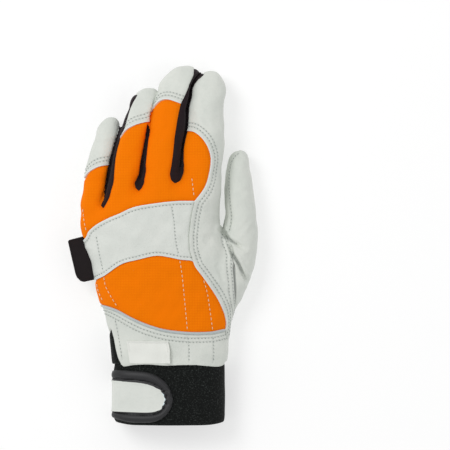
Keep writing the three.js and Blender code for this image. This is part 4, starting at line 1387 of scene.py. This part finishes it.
# %% Drop a row from the plan onto a piece
RAY_START = 60.0
STEEPEST_ROW = 0.15


def dropped_row(part, places):
    """A row that is drawn on the plan and lowered onto the piece from above."""
    tree = BVHTree.FromPolygons(part["outer"].tolist(), part["faces"].tolist())
    found = []
    for x, y in smooth_rows(places, 10):
        spot, normal, _, _ = tree.ray_cast(Vector((x, y, RAY_START)), Vector((0, 0, -1)))
        if spot is not None and normal.z > STEEPEST_ROW:
            found.append((list(spot), list(normal)))
    if len(found) < 3:
        return []
    places, normals = zip(*found)
    return [(np.array(places), np.array(normals))]


# %% [markdown]
# One stitch is a short thread that dives into its two needle holes: a spindle with pointed ends that
# bows up a little in the middle. The same small mesh is laid along every row.

# %% The shape of one stitch
STITCH_PITCH = 2.5
STITCH_LENGTH = 1.15
THREAD_RADIUS = 0.25
THREAD_LIFT = 0.06
THREAD_BOW = 0.12


def stitch_shape(sides=6, rings=(0.0, 0.18, 0.5, 0.82, 1.0)):
    points, faces = [], []
    for t in rings[1:-1]:
        swell = math.sin(math.pi * t) ** 0.5
        for k in range(sides):
            turn = 2 * math.pi * k / sides
            points.append((t - 0.5, swell * math.cos(turn), swell * math.sin(turn)))
    count = len(rings) - 2
    for r in range(count - 1):
        for k in range(sides):
            a, b = r * sides + k, r * sides + (k + 1) % sides
            faces += [(a, a + sides, b), (b, a + sides, b + sides)]
    points += [(-0.5, 0, 0), (0.5, 0, 0)]
    first, last = len(points) - 2, len(points) - 1
    for k in range(sides):
        faces.append((first, k, (k + 1) % sides))
        faces.append((last, (count - 1) * sides + (k + 1) % sides, (count - 1) * sides + k))
    return np.array(points), np.array(faces)


STITCH_POINTS, STITCH_FACES = stitch_shape()
print("triangles in one stitch:", len(STITCH_FACES))


# %% Lay stitches along rows
def at_place(arc, data, place):
    return np.array([np.interp(place, arc, data[:, k]) for k in range(3)])


def sew(rows, pitch=STITCH_PITCH, length=STITCH_LENGTH, radius=THREAD_RADIUS):
    """Points and faces of all stitches along the rows."""
    points, faces, total = [], [], 0
    for places, normals in rows:
        gaps = np.linalg.norm(np.diff(places, axis=0), axis=1)
        arc = np.concatenate([[0], np.cumsum(gaps)])
        for middle in np.arange(pitch / 2, arc[-1] - pitch / 3, pitch):
            centre = at_place(arc, places, middle)
            up = at_place(arc, normals, middle)
            start, end = (at_place(arc, places, middle + o) for o in (-length / 2, length / 2))
            along = end - start
            along /= max(np.linalg.norm(along), 1e-9)
            up = up - along * (up @ along)
            up /= max(np.linalg.norm(up), 1e-9)
            side = np.cross(up, along)
            bow = 1 - (2 * STITCH_POINTS[:, :1]) ** 2
            forth, aside, high = STITCH_POINTS[:, :1], STITCH_POINTS[:, 1:2], STITCH_POINTS[:, 2:]
            body = centre + along * forth * length + side * aside * radius
            body = body + up * (high * radius + THREAD_LIFT + THREAD_BOW * bow)
            points.append(body)
            faces.append(STITCH_FACES + total)
            total += len(body)
    return np.vstack(points), np.vstack(faces)


# %% [markdown]
# ## Which rows go where
# Leather that laps over the orange has two rows, about 3.2 and 5.8 mm from its edge. The band has one
# row along each edge and two upright rows, which carry on as cream dashes over the orange cloth. The
# thumb's oval has two rows on the palm's side, and the thumb itself one along its back.

# %% Free rows, drawn on the plan
CREAM_ROWS = {
    "knuckles": [
        [(16.6, 178.0), (17.4, 171.0), (18.4, 162.4)],
        [(-61.8, 156.0), (-60.9, 148.0), (-59.0, 138.2)],
    ],
    "panel": [
        [(7.9, 119.0), (9.6, 108.0), (11.2, 92.0), (13.4, 68.0)],
        [(24.8, 104.8), (27.6, 95.0), (29.6, 82.0), (31.4, 68.6)],
        [(-46.6, 107.0), (-45.2, 100.0), (-41.0, 92.0), (-36.4, 84.6)],
        [(-52.0, 102.0), (-50.6, 96.0), (-47.4, 89.0)],
    ],
}
GREY_ROWS = {
    "band": [
        [(2.2, 157.8), (3.8, 147.6), (5.0, 134.0), (7.2, 122.6)],
        [(-52.0, 136.0), (-50.0, 124.0), (-47.2, 111.0)],
    ],
    "wrist": [
        [(13.8, 63.8), (14.6, 54.0), (14.4, 45.4)],
        [(31.8, 63.8), (32.2, 54.0), (31.9, 45.0)],
        [(-38.6, 76.0), (-36.6, 66.0), (-34.6, 54.0), (-33.8, 47.0)],
    ],
    "thumb": [
        [(43.4, 139.6), (45.0, 149.0), (44.3, 158.0), (43.3, 170.0), (43.4, 180.0), (44.6, 188.0),
         (47.4, 193.4), (50.6, 196.0)],
    ],
}
LAP_ROWS = (3.2, 5.8)
BAND_ROW = 2.3
PIPING_ROWS = (3.6, 6.4)
THUMB_ROWS = (1.8, 5.0)
THUMB_ROWS_END = 138

rows = {name: [] for name in cut}
cream = []
for name, lines in CREAM_ROWS.items():
    for line in lines:
        cream += [(name, row) for row in dropped_row(cut[name], line)]
for name, lines in GREY_ROWS.items():
    for line in lines:
        rows[name] += dropped_row(cut[name], line)
for name in ["palm"] + CAPS:
    for level in LAP_ROWS:
        rows[name] += level_rows(cut[name], cut[name]["distances"]["lap"], level)
rows["band"] += level_rows(cut["band"], cut["band"]["distances"]["lap"], BAND_ROW)
below_panel = nearest(cut["wrist"]["points"], shared_rim("wrist", ["panel"]))
for level in PIPING_ROWS:
    rows["wrist"] += level_rows(cut["wrist"], below_panel, level)
by_thumb = nearest(cut["palm"]["points"], shared_rim("palm", ["thumb"]))
for level in THUMB_ROWS:
    rows["palm"] += level_rows(cut["palm"], by_thumb, level, lambda place: place[1] < THUMB_ROWS_END)
print("rows of thread:", {name: len(found) for name, found in rows.items()}, "cream:", len(cream))

# %% [markdown]
# ## Sewing the pieces up
# The table names each piece, the cut skin that it is made of, its material, the material slot and the
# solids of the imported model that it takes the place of.

# %% The sewn pieces
PIECES = {
    "palm_leather_sewn": ("palm", leather, "goat_leather", [
        "palm_leather", "finger_leather_little", "finger_leather_ring", "finger_leather_middle",
        "finger_leather_index",
    ]),
    "thumb_leather_sewn": ("thumb", leather, "goat_leather", ["thumb_leather"]),
    "fingertip_cap_little": ("cap_little", leather, "goat_leather", ["fingertip_little"]),
    "fingertip_cap_ring": ("cap_ring", leather, "goat_leather", ["fingertip_ring"]),
    "fingertip_cap_middle": ("cap_middle", leather, "goat_leather", ["fingertip_middle"]),
    "wrist_leather_sewn": ("wrist", leather, "goat_leather", ["wrist_leather"]),
    "side_strip_little_ring": ("strip_little", stretch, "black_stretch", ["fourchette_little_ring"]),
    "side_strip_ring_middle": ("strip_ring", stretch, "black_stretch", ["fourchette_ring_middle"]),
    "side_strip_middle_index": ("strip_middle", stretch, "black_stretch", ["fourchette_middle_index"]),
    "wrist_slit_gusset": ("slit", neoprene, "black_stretch", ["wrist_gusset"]),
    "knuckle_panel_cloth": ("knuckles", orange, "orange_knit", ["knuckle_panel"]),
    "hand_back_pad": ("panel", orange, "orange_knit", ["hand_back_panel"]),
    "knuckle_band_sewn": ("band", band_leather, "white_band", ["knuckle_band"]),
}
print("solids replaced:", sum(len(nodes) for _, _, _, nodes in PIECES.values()))

# %% [markdown]
# Thread pulls a groove into the surface, and the seam along the thumb's back is a ditch between two
# small ridges. Both are added to the relief before the piece is closed. Sharp folds get their painted
# shade from a distance that grows toward the fold's ends, so that a fold fades out.

# %% Thread grooves, the thumb's seam and sharp folds
THUMB_SIDE_SEAM = [
    (40.6, 138.0), (43.2, 143.0), (43.8, 150.0), (42.9, 158.0), (42.1, 170.0), (42.2, 180.0),
    (43.4, 188.6), (46.4, 195.0), (49.6, 197.6),
]
THUMB_SEAM_CURVE = [(0.0, -0.8), (0.5, -0.45), (1.3, 0.1), (2.6, 0.0)]
ROW_DENT = 0.22
ROW_DENT_WIDTH = 0.8
FOLD_END = 13.0
FOLD_FADE = 1.1
UNDERSIDE = -0.2


def thread_distance(name):
    lines = [row[0] for row in rows[name]] + [row[0] for owner, row in cream if owner == name]
    if not lines:
        return np.full(len(cut[name]["points"]), FAR)
    return nearest(cut[name]["outer"], np.vstack(lines))


def thumb_seam_relief(part):
    seam, _ = from_line(part["points"], smooth_rows(THUMB_SIDE_SEAM))
    seam = np.where(part["normals"][:, 2] > UNDERSIDE, seam, FAR)
    return np.interp(seam, *np.array(THUMB_SEAM_CURVE).T)


def sharp_crease(part):
    """Millimetres to the nearest sharp fold on the back, with more added toward a fold's ends."""
    best = np.full(len(part["points"]), FAR)
    for places in SHARP_FOLDS:
        line = smooth_rows(places, 6)
        away, _ = from_line(part["points"], line)
        ends = np.linalg.norm(part["points"][:, None, :2] - line[[0, -1]], axis=2).min(1)
        best = np.minimum(best, away + FOLD_FADE * (1 - ease(ends, 0.0, FOLD_END)))
    return np.where(part["normals"][:, 2] > UNDERSIDE, best, FAR)


# %% Build the sewn pieces
LEATHER_WALL = 1.6

for name, (source, material, slot, nodes) in PIECES.items():
    part = cut[source]
    thread = thread_distance(source)
    relief = part["relief"] - ROW_DENT * np.exp(-((thread / ROW_DENT_WIDTH) ** 2))
    if source == "thumb":
        relief += thumb_seam_relief(part)
    raw = part["distances"]["raw"]
    crease = sharp_crease(part)
    points, faces = shell(part["points"], part["normals"], part["faces"], relief, LEATHER_WALL)
    layers = {
        "row": np.concatenate([thread, np.full(len(thread), FAR)]),
        "raw": np.concatenate([raw, raw]),
        "crease": np.concatenate([crease, crease]),
    }
    make_object(name, points, faces, material, layers)
    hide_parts(*nodes)

# %% [markdown]
# The grey rows on leather have short stitches. On the orange cloth the cream thread is thicker and its
# stitches are longer, so the dashes show from afar, as in the photo.

# %% The stitches themselves
CREAM_STITCH = {"pitch": 3.4, "length": 2.3, "radius": 0.34}

grey_points, grey_faces = sew([row for name in rows for row in rows[name]])
stitches = make_object("leather_stitches_grey", grey_points, grey_faces, thread_grey)
cream_points, cream_faces = sew([row for _, row in cream], **CREAM_STITCH)
stitches_cream = make_object("cloth_stitches_cream", cream_points, cream_faces, thread_cream)
print("stitches:", len(grey_faces) // len(STITCH_FACES), len(cream_faces) // len(STITCH_FACES))

# %% [markdown]
# ## Piping under the padded panel
# A folded satin tape with a cord in it is caught in the seam between the pad and the wrist leather,
# so only its round silver edge shows. It is a tube that follows the seam's shared points, set up on
# the skin's normal. The seam's own points make it fit exactly.

# %% The seam's points as an even row
LEAST_GAP = 0.4
SOFTEN_ROUNDS = 4
TUBE_STEP = 1.2


def chain(part_name, others):
    """The seam's shared points in order, with the skin's normals there."""
    part = cut[part_name]
    rim = np.unique(open_edges(part["faces"]))
    close = rim[shares(part["points"][rim], others)]
    order = close[np.argsort(part["points"][close, 0])]
    return part["points"][order], part["normals"][order]


def even_row(points, normals):
    """The same row with its zigzags smoothed and its points at even steps."""
    keep = [0]
    for k in range(1, len(points)):
        if np.linalg.norm(points[k] - points[keep[-1]]) > LEAST_GAP:
            keep.append(k)
    points, normals = points[keep], normals[keep]
    for _ in range(SOFTEN_ROUNDS):
        points = np.vstack([points[:1], (points[:-2] + 2 * points[1:-1] + points[2:]) / 4, points[-1:]])
    arc = np.concatenate([[0], np.cumsum(np.linalg.norm(np.diff(points, axis=0), axis=1))])
    places = np.linspace(0, arc[-1], int(arc[-1] / TUBE_STEP))
    points, normals = (
        np.array([at_place(arc, data, place) for place in places]) for data in (points, normals)
    )
    return points, normals / np.linalg.norm(normals, axis=1, keepdims=True)


# %% A tube along a row on the skin
def tube(points, normals, width, height, lift, sides=12):
    """A closed tube with an oval section; both ends are rounded off."""
    along = np.gradient(points, axis=0)
    along /= np.linalg.norm(along, axis=1, keepdims=True)
    side = np.cross(normals, along)
    side /= np.linalg.norm(side, axis=1, keepdims=True)
    up = np.cross(along, side)
    count = len(points)
    reach = np.minimum(np.arange(count), np.arange(count)[::-1]) / 2.0
    swell = np.sqrt(1 - (1 - np.clip(reach, 0.12, 1)) ** 2)[:, None]
    ring, faces = [], []
    for k in range(sides):
        turn = 2 * math.pi * k / sides
        rise = height * swell * math.sin(turn) + lift
        ring.append(points + side * width * swell * math.cos(turn) + up * rise)
    body = np.stack(ring, axis=1).reshape(-1, 3)
    for r in range(count - 1):
        for k in range(sides):
            a, b = r * sides + k, r * sides + (k + 1) % sides
            faces += [(a, b, a + sides), (b, b + sides, a + sides)]
    for start, flip in ((0, False), ((count - 1) * sides, True)):
        for k in range(1, sides - 1):
            face = (start, start + k + 1, start + k)
            faces.append(face[::-1] if flip else face)
    return body, np.array(faces)


PIPING_WIDTH = 0.95
PIPING_HEIGHT = 0.8
PIPING_LIFT = 0.35
seam_points, seam_normals = even_row(*chain("wrist", ["panel"]))
points, faces = tube(seam_points, seam_normals, PIPING_WIDTH, PIPING_HEIGHT, PIPING_LIFT)
piping = make_object("wrist_piping_cord", points, faces, piping_cord)
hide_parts("wrist_piping")
print("piping, mm:", round(float(np.linalg.norm(np.diff(seam_points, axis=0), axis=1).sum()), 1))

# %% [markdown]
# ## The cuff
# The cuff is a tube of loop-faced foam rubber, flattened by its own weight. Its section is a
# superellipse; its hem curves up at both folds, which gives the rounded corners in the photo. The
# tube goes on for a few millimetres under the leather's edge. Each row below has the place along the
# glove, the left and right fold, and the lowest and highest skin.

# %% Cuff skin as rings of a flattened tube
CUFF_ROWS = [
    (0.0, -35.4, 37.2, 0.2, 34.9), (1.2, -37.3, 38.8, 0.1, 35.1), (3.0, -38.9, 39.8, 0.0, 35.4),
    (6.0, -40.0, 40.3, 0.0, 35.6), (10.0, -40.3, 40.4, 0.0, 35.7), (20.0, -40.4, 40.4, 0.0, 35.8),
    (34.0, -40.2, 40.4, 0.0, 35.2), (40.0, -39.9, 40.2, 0.2, 34.5), (43.0, -39.4, 40.0, 0.8, 33.9),
    (50.2, -38.8, 39.0, 1.9, 33.4),
]
CUFF_POWER = 2.5
CUFF_CORNER = 1.8
CUFF_CORNER_START = 0.72
CUFF_TOP = 50.2
CUFF_GIRTH = 205
CUFF_CELL = 0.85


def cuff_skin(cell):
    around = int(CUFF_GIRTH / cell)
    rings = int(CUFF_TOP / cell)
    turn = np.linspace(0, 2 * np.pi, around, endpoint=False)
    cosine, sine = np.cos(turn), np.sin(turn)
    flat_x = np.sign(cosine) * np.abs(cosine) ** (2 / CUFF_POWER)
    flat_z = np.sign(sine) * np.abs(sine) ** (2 / CUFF_POWER)
    corner = np.clip((np.abs(flat_x) - CUFF_CORNER_START) / (1 - CUFF_CORNER_START), 0, 1)
    hem_rise = CUFF_CORNER * (1 - np.sqrt(1 - 0.96 * corner**2))
    share = np.linspace(0, 1, rings + 1)[:, None]
    y = hem_rise[None, :] * (1 - share) + CUFF_TOP * share
    left, right, low, high = (read(CUFF_ROWS, y, k) for k in (1, 2, 3, 4))
    x = (left + right) / 2 + (right - left) / 2 * flat_x
    z = (low + high) / 2 + (high - low) / 2 * flat_z
    points = np.stack([x, y, z], axis=-1).reshape(-1, 3)
    k = np.arange(around)
    faces = []
    for r in range(rings):
        a, b = r * around + k, r * around + (k + 1) % around
        faces += [np.c_[a, a + around, b], np.c_[b, a + around, b + around]]
    faces = np.vstack(faces)
    return {"points": points, "faces": faces, "normals": surface_normals(points, faces)}


cuff = cuff_skin(CUFF_CELL)
print("cuff skin triangles:", len(cuff["faces"]))

# %% [markdown]
# The foam's face ripples by a fifth of a millimetre, and its hem is turned in. The distance to a row
# of thread near the edge is traced and kept on the mesh.

# %% Hem, ripples and wall of the cuff
CUFF_WALL = 2.6
CUFF_RIPPLE = 0.22
CUFF_HEM_CURVE = [(0.0, -0.8), (0.5, -0.25), (1.5, 0.0), (3.0, 0.0)]
CUFF_HEM_ROW = 2.6
UNDER_LEATHER = 42

x, y, _ = cuff["points"].T
ripple = CUFF_RIPPLE * np.sin(x / 5.5 + y / 9.0) * np.sin(y / 7.0 - x / 13.0)
hem_edge = nearest(cuff["points"], rim_of(cuff))
hem_edge = np.where(y > UNDER_LEATHER, FAR, hem_edge)
cuff_relief = ripple + np.interp(hem_edge, *np.array(CUFF_HEM_CURVE).T)
cuff["outer"] = cuff["points"] + cuff["normals"] * cuff_relief[:, None]
hem_rows = level_rows(cuff, hem_edge, CUFF_HEM_ROW)
cuff_thread = nearest(cuff["points"], np.vstack([row[0] for row in hem_rows]))
points, faces = shell(cuff["points"], cuff["normals"], cuff["faces"], cuff_relief, CUFF_WALL)
cuff_cloth = make_object("cuff_loop_cloth", points, faces, neoprene, {
    "row": np.concatenate([cuff_thread, np.full(len(cuff_thread), FAR)]),
})
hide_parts("cuff")
print("cuff triangles:", len(faces))

# %% [markdown]
# ## The wrist strap
# The strap wraps round the little-finger side and ends in a round tongue: white leather with its raw,
# slightly wavy edge tucked under a thick black binding. Both are cut from the cuff's own skin and
# raised above it, so they bend with the tube.

# %% Outlines of the strap, and its two pieces
BINDING_OUTSIDE = [
    (-70.0, 38.6), (-42.0, 38.6), (-36.7, 39.7), (-28.0, 39.3), (-20.9, 39.0), (-13.7, 38.0),
    (-6.8, 34.9), (-1.2, 29.8), (2.0, 23.9), (3.0, 18.6), (1.8, 12.8), (-1.8, 7.7), (-6.8, 4.2),
    (-13.7, 2.5), (-27.4, 2.6), (-35.3, 4.2), (-42.0, 5.6), (-70.0, 5.6),
]
BINDING_INSIDE = [
    (-70.0, 32.0), (-40.0, 32.0), (-30.2, 31.4), (-21.0, 30.7), (-13.7, 29.2), (-7.2, 26.3),
    (-3.8, 22.6), (-2.6, 18.6), (-4.2, 14.4), (-6.8, 11.2), (-13.7, 9.7), (-28.0, 9.8),
    (-40.0, 10.0), (-70.0, 10.0),
]
STRAP_END_HEIGHT = 5.2
TONGUE_WAVES = 0.32
TONGUE_LIMIT = 10
OUTSIDE_STRAP = 5.0


def strap_shape(part, outline, waves=0.0):
    x, y, z = part["points"].T
    value = plan_shape(part, smooth_rows(outline))
    value = value + waves * ease(x, -14, -7) * np.sin(y * 1.9)
    value = np.where(x < TONGUE_LIMIT, value, OUTSIDE_STRAP)
    return np.maximum(value, STRAP_END_HEIGHT - z)


strap, _ = split(cuff, strap_shape(cuff, BINDING_OUTSIDE))
tongue, binding = split(strap, strap_shape(strap, BINDING_INSIDE, TONGUE_WAVES))
print("strap triangles:", len(tongue["faces"]), len(binding["faces"]))

# %% [markdown]
# The tongue's edge rises a little where the binding's cord lies under it, and shows the cut hide.

# %% Strap leather
TONGUE_RISE = 0.95
TONGUE_EDGE_CURVE = [(-0.5, 0.55), (0.4, 0.55), (1.5, 0.15), (6.0, 0.0)]
TONGUE_RIPPLE = 0.12
TONGUE_UNDERSIDE = -0.15
RAW_FADE = 6

tongue_edge = -plan_shape(tongue, smooth_rows(BINDING_INSIDE))
tongue_relief = TONGUE_RISE + np.interp(tongue_edge, *np.array(TONGUE_EDGE_CURVE).T)
x, y, _ = tongue["points"].T
tongue_relief += TONGUE_RIPPLE * np.sin(x / 4.2) * np.sin(y / 5.1)
points, faces = shell(
    tongue["points"], tongue["normals"], tongue["faces"], tongue_relief, TONGUE_UNDERSIDE,
)
tongue_raw = np.maximum(tongue_edge, 0) + RAW_FADE * ease(-x, 4, 12)
strap_leather = make_object("strap_leather_tongue", points, faces, band_leather, {
    "raw": np.concatenate([tongue_raw, tongue_raw]),
})
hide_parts("strap_leather")
print("tongue's highest relief, mm:", round(float(tongue_relief.max()), 2))

# %% [markdown]
# Across the binding a number runs from 0 at its outside to 1 at the tongue. Three quarters of the way
# is the roll over the cord, then comes the groove with the row of thread, and then a flat lip on the
# leather. The roll is flatter where the strap turns down beside the wrist.

# %% The rolled binding and its stitches
ROLL_SHARE = 0.74
GROOVE_PLACE = 0.76
GROOVE_WIDTH = 0.06
GROOVE_DEPTH = 0.3
BINDING_RISE = 0.75
ROLL_RISE = 1.75
LIP_RISE = 0.25
LEAST_ROLL = 0.35
BINDING_UNDERSIDE = -0.1
BLACK_STITCH = {"pitch": 2.4, "length": 1.5, "radius": 0.26}

inside = plan_shape(binding, smooth_rows(BINDING_INSIDE))
outside = -plan_shape(binding, smooth_rows(BINDING_OUTSIDE))
across = np.clip(outside / np.maximum(outside + np.maximum(inside, 0), 0.1), 0, 1)
roll = np.sqrt(np.clip(1 - (2 * np.clip(across / ROLL_SHARE, 0, 1) - 1) ** 2, 0, 1))
upward = LEAST_ROLL + (1 - LEAST_ROLL) * ease(binding["normals"][:, 2], 0.0, 0.6)
binding_relief = BINDING_RISE + ROLL_RISE * roll * upward + LIP_RISE * ease(across, ROLL_SHARE, 0.86)
binding_relief -= GROOVE_DEPTH * np.exp(-(((across - GROOVE_PLACE) / GROOVE_WIDTH) ** 2))
binding["outer"] = binding["points"] + binding["normals"] * binding_relief[:, None]
binding_rows = level_rows(binding, across, GROOVE_PLACE)
binding_thread = nearest(binding["outer"], np.vstack([row[0] for row in binding_rows]))
points, faces = shell(
    binding["points"], binding["normals"], binding["faces"], binding_relief, BINDING_UNDERSIDE,
)
strap_edge = make_object("strap_binding_rolled", points, faces, binding_tape, {
    "row": np.concatenate([binding_thread, np.full(len(binding_thread), FAR)]),
})
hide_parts("strap_binding")
black_points, black_faces = sew(binding_rows, **BLACK_STITCH)
binding_stitches = make_object("binding_stitches_black", black_points, black_faces, thread_black)
print("stitches on the binding:", len(black_faces) // len(STITCH_FACES))

# %% [markdown]
# ## Side tab and woven label
# A black tape, folded once, is caught in the little-finger seam; a white woven label is sewn above the
# cuff with one end lifting off the leather. Both faces are left bare. They are thin grids that bend
# by a height rule, closed with the same shell as the leather.

# %% Thin tapes from a grid of corners
UP = [0.0, 0.0, 1.0]


def tape_grid(corners, across, along):
    """A grid inside four plan corners: top left, top right, bottom right, bottom left."""
    a, b, c, d = np.asarray(corners, float)
    u, v = np.meshgrid(np.linspace(0, 1, across), np.linspace(0, 1, along))
    u, v = u.reshape(-1, 1), v.reshape(-1, 1)
    flat = (a * (1 - u) + b * u) * (1 - v) + (d * (1 - u) + c * u) * v
    k = np.arange(across * along).reshape(along, across)
    a, b, c, d = k[:-1, :-1].ravel(), k[:-1, 1:].ravel(), k[1:, 1:].ravel(), k[1:, :-1].ravel()
    faces = np.vstack([np.c_[a, d, b], np.c_[b, d, c]])
    return flat, faces, (u.ravel(), v.ravel())


# %% [markdown]
# The tab's outline is cut from a grid in the same way as the seams. It hangs out of the seam at half
# height and sags a little outward.

# %% The folded black tab
TAB_GRID = [(-76.0, 139.0), (-44.0, 139.0), (-44.0, 100.0), (-76.0, 100.0)]
TAB_OUTLINE = [
    (-73.0, 132.2), (-72.0, 133.3), (-61.4, 136.0), (-50.0, 138.6), (-46.0, 105.4), (-53.3, 104.7),
    (-61.4, 102.9), (-64.0, 103.6), (-66.4, 106.0), (-67.6, 108.8),
]
TAB_HEIGHT = 20.2
TAB_WAVE = 0.5
TAB_SLOPE = 0.05
TAB_HALF = 0.55
TAB_EDGE_CURVE = [(0.0, -0.4), (0.35, -0.1), (0.9, 0.0)]
TAB_ROW = 1.5

tab_flat, tab_faces, _ = tape_grid(TAB_GRID, 54, 66)
tab = {"points": np.c_[tab_flat, np.zeros(len(tab_flat))], "faces": tab_faces}
tab["normals"] = np.tile(UP, (len(tab_flat), 1))
tab, _ = split(tab, plan_shape(tab, TAB_OUTLINE))
x, y, _ = tab["points"].T
tab["points"][:, 2] = TAB_HEIGHT + TAB_WAVE * np.sin(y / 9.0) + TAB_SLOPE * (x + 60)
rim_round = nearest(tab["points"], rim_of(tab))
swell = np.interp(rim_round, *np.array(TAB_EDGE_CURVE).T)
points, faces = shell(tab["points"], tab["normals"], tab["faces"], TAB_HALF + swell, TAB_HALF)
edge_row = np.abs(rim_round - TAB_ROW)
side_tab = make_object("side_tab_folded", points, faces, tape_black, {
    "row": np.concatenate([edge_row, edge_row]),
})
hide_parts("side_label")
print("tab triangles:", len(faces))

# %% [markdown]
# The white label follows the leather below it, a hair above, and one end curls up by 2.4 mm. Its upper
# half is held by a row of thread near the edge.

# %% The white label on the wrist leather
LABEL_CORNERS = [(-30.4, 60.8), (-0.6, 60.6), (1.6, 44.8), (-28.0, 44.6)]
LABEL_LIFT = 2.4
LABEL_RIPPLE = 0.16
LABEL_END_WAVE = 0.5
LABEL_GAP = 0.12
LABEL_TOP = 0.3
LABEL_UNDERSIDE = 0.2
LABEL_ROW = 1.1

flat, label_faces, (label_u, label_v) = tape_grid(LABEL_CORNERS, 54, 30)
flat[:, 0] += LABEL_END_WAVE * ease(label_u, 0.9, 1.0) * np.sin(label_v * 5.0)
leather_top = BVHTree.FromPolygons(cut["wrist"]["outer"].tolist(), cut["wrist"]["faces"].tolist())
hits = [leather_top.ray_cast(Vector((x, y, RAY_START)), Vector((0, 0, -1))) for x, y in flat]
ground = np.array([spot.z for spot, *_ in hits])
curl = LABEL_LIFT * ease(label_u, 0.8, 1.0) ** 1.3 * (0.45 + 0.55 * ease(label_v, 0.05, 0.6))
ripple = LABEL_RIPPLE * np.sin(label_u * 13.0 + 2 * label_v) * ease(label_v, 0.0, 0.4)
label = np.c_[flat, ground + LABEL_GAP + curl + ripple + LABEL_UNDERSIDE]
edge = nearest(label, label[np.unique(open_edges(label_faces))])
top = np.full(len(label), LABEL_TOP)
points, faces = shell(label, np.tile(UP, (len(label), 1)), label_faces, top, LABEL_UNDERSIDE)
label_row = np.where(label_v < 0.5, np.abs(edge - LABEL_ROW), FAR)
white_label = make_object("woven_label_white", points, faces, tape_white, {
    "row": np.concatenate([label_row, label_row]),
})
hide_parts("woven_label")
print("label's curl, mm:", round(float(curl.max()), 2))

# %% [markdown]
# ## Camera, floor and light
# The photo looks straight down on the glove, from far enough for the fingers to keep their size. A
# camera 2.6 m above sees the same frame when its lens is chosen from that height, the photo's side in
# pixels and the millimetres that one pixel shows.

# %% Camera
PHOTO_SIDE = 450
MM_PER_PIXEL = 0.72
CUFF_PIXEL = (169, 425)
CAMERA_HEIGHT = 2.6
GLOVE_MIDDLE_HEIGHT = 24.0

photo_middle = PHOTO_SIDE // 2
right_of_cuff = (photo_middle - CUFF_PIXEL[0]) * MM_PER_PIXEL
above_cuff = (CUFF_PIXEL[1] - photo_middle) * MM_PER_PIXEL
centre = to_frame([right_of_cuff, above_cuff, GLOVE_MIDDLE_HEIGHT])
lens = bpy.data.cameras.new("camera")
lens.sensor_width = 36.0
lens.lens = lens.sensor_width * (CAMERA_HEIGHT - centre[2]) / (PHOTO_SIDE * MM_PER_PIXEL * MM)
camera = bpy.data.objects.new("camera", lens)
camera.location = (centre[0], centre[1], CAMERA_HEIGHT)
bpy.context.scene.collection.objects.link(camera)
bpy.context.scene.camera = camera
print("lens, mm:", round(lens.lens, 1))

# %% [markdown]
# The photo is a cut-out on pure white, lit from all sides. White paper that glows a little stays white
# in the picture and still takes a faint contact shadow. A large lamp from the upper left shapes the
# leather softly, a weak one opens the shadows, and the white surroundings do the rest.

# %% Floor
FLOOR_SIDE = 4.0
FLOOR_DROP = -0.0005
WHITE = (1.0, 1.0, 1.0, 1.0)

paper = new_material("studio_paper_white", "#C4C4C4", 0.9, specular=0.0)
paper_shader = paper.node_tree.nodes["Principled BSDF"]
paper_shader.inputs["Emission Color"].default_value = WHITE
paper_shader.inputs["Emission Strength"].default_value = 0.5
turns = [(-1, -1), (1, -1), (1, 1), (-1, 1)]
corners = [(x * FLOOR_SIDE, y * FLOOR_SIDE, FLOOR_DROP) for x, y in turns]
floor_mesh = bpy.data.meshes.new("floor")
floor_mesh.from_pydata(corners, [], [(0, 1, 2, 3)])
floor_mesh.materials.append(paper)
floor = bpy.data.objects.new("floor", floor_mesh)
bpy.context.scene.collection.objects.link(floor)

# %% Lights
def lamp(name, place, size, power, target=(0.0, 0.0, 0.02)):
    data = bpy.data.lights.new(name, "AREA")
    data.shape = "SQUARE"
    data.size = size
    data.energy = power
    made_lamp = bpy.data.objects.new(name, data)
    made_lamp.location = place
    aim = Vector(target) - Vector(place)
    made_lamp.rotation_euler = aim.to_track_quat("-Z", "Y").to_euler()
    bpy.context.scene.collection.objects.link(made_lamp)


lamp("key_light", (-0.7, 0.6, 1.3), 0.7, 9)
lamp("fill_light", (0.9, -0.5, 1.2), 1.2, 2)
world = bpy.data.worlds.new("studio")
world.use_nodes = True
background = world.node_tree.nodes["Background"]
background.inputs["Color"].default_value = WHITE
background.inputs["Strength"].default_value = 0.6
bpy.context.scene.world = world
bpy.context.scene.view_settings.view_transform = "Standard"
print("lamps:", [light.name for light in bpy.data.lights])
